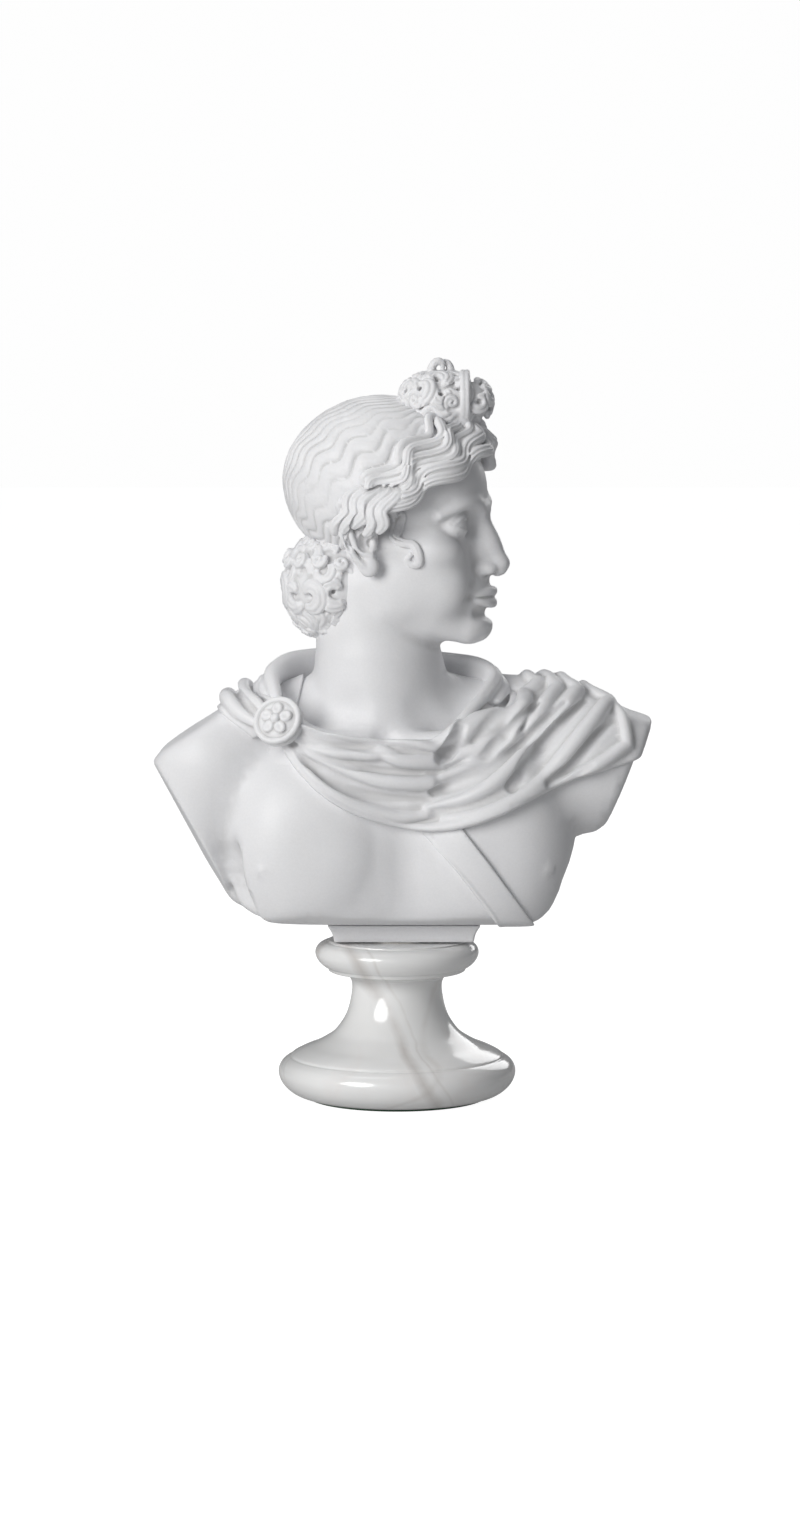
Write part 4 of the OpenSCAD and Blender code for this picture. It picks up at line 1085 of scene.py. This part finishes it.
def sculpt_knot():
    """The knot over the brow: heaped curls, waved strands at its foot and a tied bow in front."""
    c = Clay((-10, -42, 332), (58, 24, 374.5), 0.38)
    c.ball(KNOT[0], KNOT[1] + 0.2)
    c.ball((37.5, -9, 349.5), (8, 12, 9.4), 2)
    a = np.radians(np.linspace(-175, 175, 60))
    for j in range(3):
        ring = KNOT[0] + np.column_stack([(15.5 + 1.3 * j) * np.cos(a) + 2, (13.5 + 1.2 * j) * np.sin(a),
                                          -11.5 + 3.1 * j + 1.9 * np.sin(9.5 * a + 0.5 * j)])
        lock(c, ring, 2.0, 1.0, 1, 0.3, (1, 1))
    for turn, rise, radius, start, sweep, r in KNOT_HOOKS:
        hook(c, KNOT, turn, rise, radius, start, sweep, r, 1.8)
        drill(c, KNOT, turn, rise, 4.5, 1.2, (1.5, 0.9))
    for turn, rise, r in KNOT_SNAILS:
        snail(c, KNOT, turn, rise, 0.9, r, 0.07 * turn, 1 if turn > 0 else -1)
    # the tuft on top
    c.rope([(18, -10.5, 359), (17, -12, 365), (19, -12.6, 369), (22.2, -12.4, 369), (22.6, -12, 366)],
           (3, 2.5, 2.1, 1.9, 1.2), 0.5)
    c.rope([(25, -8.5, 359), (26.4, -9.6, 365), (25, -10.2, 368.6), (22.4, -9.4, 369.2)], (3, 2.4, 1.9, 1.2),
           0.5)
    for turn, rise, start, sweep in FRONT_HOOKS:
        hook(c, KNOT_FRONT, turn, rise, 4.2, start, sweep, 1.5, 1.2, strands=2)
        drill(c, KNOT_FRONT, turn, rise, 4, 1.5, (1.5, 0.8))
    # the band
    a = np.linspace(0, 2 * math.pi, 26)
    for forward in (32.5, 34.6):
        c.rope(np.column_stack([forward + 0 * a, -8.8 + 16.4 * np.cos(a), 350.8 + 13 * np.sin(a)]), 1.5, 0.3)
    return c


NAPE = V(-28.5, 3.5, 258), V(27, 32, 28)
NAPE_COLUMNS = 8


def sculpt_nape():
    """The hair of the nape: ringlets, big loops of three strands under them and waved bunches below."""
    c = Clay((-69, -46, 222), (0, 50, 297), 0.44)
    c.ball(NAPE[0], NAPE[1] + 0.4)
    for i in range(NAPE_COLUMNS):
        turn = -96 - 168 * i / (NAPE_COLUMNS - 1)
        wob, hand = math.sin(2.7 * i + 0.6), 1 if i % 2 else -1
        for r, lift, path in (
                (1.5, 0.5, ((13 + 4 * hand, -26), (13 - 5 * hand, -36), (13 + 5 * hand, -46),
                            (13 - 4 * hand, -56), (13, -64))),
                (1.7, 1.2, ((-6 * hand, -20), (6 * hand, -30), (-6 * hand, -40), (6 * hand, -50),
                            (-3 * hand, -60), (2, -66)))):
            ribbon(c, NAPE, [on_ball(*NAPE, turn + shift, rise)[0] for shift, rise in path], r, lift=lift)
        snail(c, NAPE, turn + 8, -50 - 6 * wob, 1.6, 4.2, 0.9 * i, hand, 0.4)
        snail(c, NAPE, turn + 9, 48 + 5 * wob, 0.8, 4.8 + 0.5 * wob, 1.7 * i, hand, 0.2)
        hook(c, NAPE, turn + 12, 16 - 4 * wob, 5.2, 3.4 + 0.5 * hand, -hand * 4.2, 1.4, 1.0, strands=2)
        hook(c, NAPE, turn - 6, 36 + 4 * wob, 5.4, 0.8 + 0.4 * i, hand * 4.0, 1.4, 1.4, strands=2)
        hook(c, NAPE, turn, -6 + 5 * wob, 6.8 + 0.6 * wob, 1.7 - 0.5 * hand, hand * 4.7, 1.6, 2.0)
        drill(c, NAPE, turn, -6 + 5 * wob, 5, 1.2, (1.3, 0.9))
        snail(c, NAPE, turn + 8, 26 - 3 * wob, 2.4, 5.0 - 0.5 * wob, 2.9 * i + 1, -hand)
    return c


def sculpt_temple(side, skin):
    """A loose curl in front of the ear, ending in a ring."""
    c = Clay((10, side * 68 - 22, -44), (66, side * 68 + 22, 44), 0.6)
    pts = [(26, 78, 34), (32, 74, 22), (27, 71, 9), (25, 69, 1), (31, 67, -4), (41, 64, -6), (48, 61, -13),
           (46, 60, -21), (40, 61, -23), (36, 63, -18), (40, 62, -13)]
    pts = [(f, side * l, u) for f, l, u in pts]
    lock(c, pts, 4.6, 0.75, 2, 0.6, (1.5, 0.5), skin, 1.2)
    pts = [(f - 6 + 1.2 * i, l, u + 1) for i, (f, l, u) in enumerate(pts[:6])]
    lock(c, pts, 3.4, 0.7, 1, 0.6, (1, 0.2), skin, 0.8)
    return c


# ---------------------------------------------------------------- collar, pleats, strap and brooch
PLEATS = [[(-66, -40, 187), (-78, -26, 197), (-85, -6, 203), (-83, 16, 200), (-73, 34, 190)],
          [(-62, -38, 194), (-71, -23, 204.5), (-76.5, -3, 209), (-74, 18, 205), (-64, 35, 196)],
          [(-57, -36, 200), (-63, -21, 210), (-67, -2, 213.5), (-64, 20, 210), (-54, 35, 201)]]
PLEAT_GAPS = [[(-63, -38, 191), (-74.5, -24, 201), (-81, -4, 206), (-78.5, 17, 203), (-68, 35, 193)],
              [(-59, -37, 197), (-67, -22, 207.5), (-72, -2, 211.5), (-69, 19, 208), (-59, 36, 199)],
              [(-53, -34, 203), (-58, -19, 213), (-61, 0, 216), (-58, 20, 212), (-49, 35, 203)]]
PLEAT_AREA = [(-60, 184), (-72, 181), (-86, 192), (-93, 200), (-88, 212), (-70, 224), (-50, 226), (-46, 214),
              (-50, 196)]
COLLAR = [(-55, -33, 192), (-60, -22, 205), (-62, -4, 214), (-53, 17, 218.5), (-31, 31, 219.5),
          (-3, 36, 218.5), (24, 29, 217.5), (42, 13, 216.5), (49, -5, 212.5), (44, -19, 205), (35, -30, 196.5),
          (27, -37, 188), (19, -41, 182.5)]
# the strands inside the collar: how far out and down from its edge, and their radius
COLLAR_SKIRTS = (4.5, 5.5, 4.2), (9.5, 9.5, 3.8), (0.5, 6, 4.4), (1.5, 12, 4.2), (3, 18, 4)
STRAP_FOOT = 90.2
STRAP = [(5, 142), (27, 143), (46, 118.5), (70, 86), (52.5, 84), (29, 115)]
BROOCH_AT, BROOCH_AXIS = V(-58.5, -38.2, 193.6), unit(V(-0.32, -0.84, 0.44))


def sculpt_pleats(torso):
    """The cloak's pleats gathered on the right shoulder."""
    c = clay_over(torso, (-98, -50, 180), (-40, 46, 226), 0.5)
    base = c.d
    c.d = base - 1.8
    for path in PLEATS:
        q, _ = curve(path, 2)
        p, _ = torso.land(q, np.interp(np.linspace(0, 1, len(q)), [0, 0.7, 1], [3, 3, 0]))
        c.stroke(p, (2.0, 3.6, 4.2, 3.6, 0.8), 2.2)
        p, _ = torso.land(curve(np.array(path) + V(2.2, 0, 1.5), 2)[0], 7.2)
        c.stroke(p, (0.4, 0.8, 1.0, 0.8, 0.4), 1.6, carve=True)
    for path in PLEAT_GAPS:
        p, _ = torso.land(curve(path, 2)[0], 3.4)
        c.stroke(p, (0.8, 1.9, 2.2, 2.0, 1.2), 1.8, carve=True)
    c.trim(np.maximum(seen_region(c, PLEAT_AREA), c.all_points()[1] - 36), 1.4)
    c.trim(-base - 3, 0)
    return c


def sculpt_collar():
    """The cloak's edge rolled round the neck, with the cloth that falls inside it."""
    c = Clay((-72, -50, 174), (60, 50, 230), 0.55)
    p, t = curve(COLLAR, 2)
    c.stroke(p, along((2.0, 3.4, 4.4, 4.8, 4.8, 4.8, 4.8, 4.6, 4.2, 3.6, 3.2, 2.8, 1.8), t))
    out = units((p - V(-6, 0, 0)) * V(1, 1, 0))
    keep = (t > 0.1) & (t < 0.82)
    for shift, drop, r in COLLAR_SKIRTS:
        c.stroke((p + shift * out - V(0, 0, drop))[keep], (1.5, r, r, r, r, 1.5), 3.4)
    keep = (t > 0.16) & (t < 0.86)
    c.stroke((p + 2.4 * out + V(0, 0, 3.2))[keep], (0.3, 1.0, 1.0, 1.0, 0.3), 2, carve=True)
    return c


def sculpt_strap(torso):
    """The flat strap across the chest, with a ridge along it, ending above the foot."""
    c = clay_over(torso, (-2, -62, 84), (78, -8, 150), 0.45)
    base = c.d
    c.d = base - 1.7
    c.trim(seen_region(c, STRAP), 1.0)
    p, _ = torso.land(on_front(torso, [(10, 137), (31, 115), (54.5, 85)], 1.5), 1.6)
    c.stroke(p, 0.75, 0.5)
    c.trim(STRAP_FOOT - c.all_points()[2], 1)
    c.trim(-base - 3, 0)
    return c


def sculpt_brooch():
    """A round brooch: raised rim, a rosette of five petals and a button in the middle."""
    c = Clay((-15, -15, -7), (15, 15, 7), 0.26)
    c.ball((0, 0, -2.6), (12.4, 12.4, 6.4))
    x, y, z = c.all_points()
    r = np.sqrt(x * x + y * y)
    rim = np.sqrt((r - 11) ** 2 + (z - 1.0) ** 2) - 1.5
    c.d = join(c.d, rim.astype(np.float32), 0.5)
    c.trim(1.1 - np.sqrt((r - 8.9) ** 2 + (z - 3.3) ** 2), 0.5)
    for i in range(5):
        a = math.radians(90 + 72 * i)
        e = V(math.cos(a), math.sin(a), 0)
        turn = np.array([e, V(-math.sin(a), math.cos(a), 0), V(0, 0, 1)])
        c.ball(5.0 * e + V(0, 0, 3.2), (3.4, 2.9, 1.5), 0.4, turn=turn)
        c.ball(5.6 * e + V(0, 0, 4.9), (2.2, 1.7, 0.9), 0.4, carve=True, turn=turn)
        b = math.radians(90 + 72 * i + 36)
        g = V(math.cos(b), math.sin(b), 0)
        c.stroke([3 * g + V(0, 0, 4.2), 7.4 * g + V(0, 0, 3.4)], (0.35, 0.6), 0.4, carve=True)
    c.ball((0, 0, 4.0), (2.4, 2.4, 1.9), 0.3)
    c.ball((0, 0, 6.1), (0.8, 0.8, 0.6), 0.3, carve=True)
    return c


def from_brooch(p):
    """World places in mm of points in the brooch's own frame."""
    e1 = unit(np.cross(V(0, 0, 1), BROOCH_AXIS))
    return BROOCH_AT + np.asarray(p) @ np.array([e1, np.cross(BROOCH_AXIS, e1), BROOCH_AXIS])


# ---------------------------------------------------------------- putting it together
def add(thing, body, slot, material, *nodes):
    clothe(thing, material)
    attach(thing, body)
    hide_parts(*nodes)


def build():
    make_camera()
    make_room()
    white, veined = statuary_marble(), veined_marble()
    steel = metal("stud_steel", (0.62, 0.62, 0.64), 0.28)
    brass = metal("washer_brass", (0.78, 0.6, 0.3), 0.3)
    for node, material in (("felt_pad", felt_cloth()), ("bedding_ring", mortar()), ("stud", steel),
                           ("nut", steel), ("spring_washer", steel), ("washer", brass),
                           ("anchor_sleeve", brass)):
        keep_node(node, material)

    def carve(name, clay, *nodes, place=None):
        add(clay.cast(name, place), "bust_body", "white_marble", white, *nodes)

    add(turned("socle_turned", SOCLE, SOCLE_BORE), "socle_body", "veined_marble", veined, "socle")
    carve("block_flared", sculpt_block(), "plinth_block")
    torso = sculpt_torso()
    head = sculpt_head(torso)
    carve("cloak_draped", sculpt_cloak(torso), "cloak_front", "cloak_back")
    for side, word in zip(SIDES, ("right", "left")):
        carve("ear_" + word + "_carved", sculpt_ear(side), "ear_" + word, place=from_head)
        carve("roll_" + word + "_carved", sculpt_roll(side), "hair_roll_" + word, place=from_head)
        carve("temple_curl_" + word + "_carved", sculpt_temple(side, head), "temple_curl_" + word,
              place=from_head)
    carve("pleats_carved", sculpt_pleats(torso), "shoulder_pleats")
    carve("collar_carved", sculpt_collar(), "neck_fold")
    carve("strap_carved", sculpt_strap(torso), "baldric")
    carve("brooch_carved", sculpt_brooch(), "brooch", place=from_brooch)
    carve("knot_carved", sculpt_knot(), "topknot")
    carve("nape_curls_carved", sculpt_nape(), "nape_curls")
    carve("cap_carved", sculpt_cap(), "hair_cap", place=from_head)
    carve("head_carved", head, "head", "neck", place=from_head)
    # where the head's piece shows the skin inside the neckline, the torso's own skin sinks under it
    x, _, z = torso.all_points()
    torso.d += (np.clip(-bib_mask(x, z) / 4, 0, 1) * 1.5).astype(np.float32)
    carve("torso_carved", torso, "torso")


build()
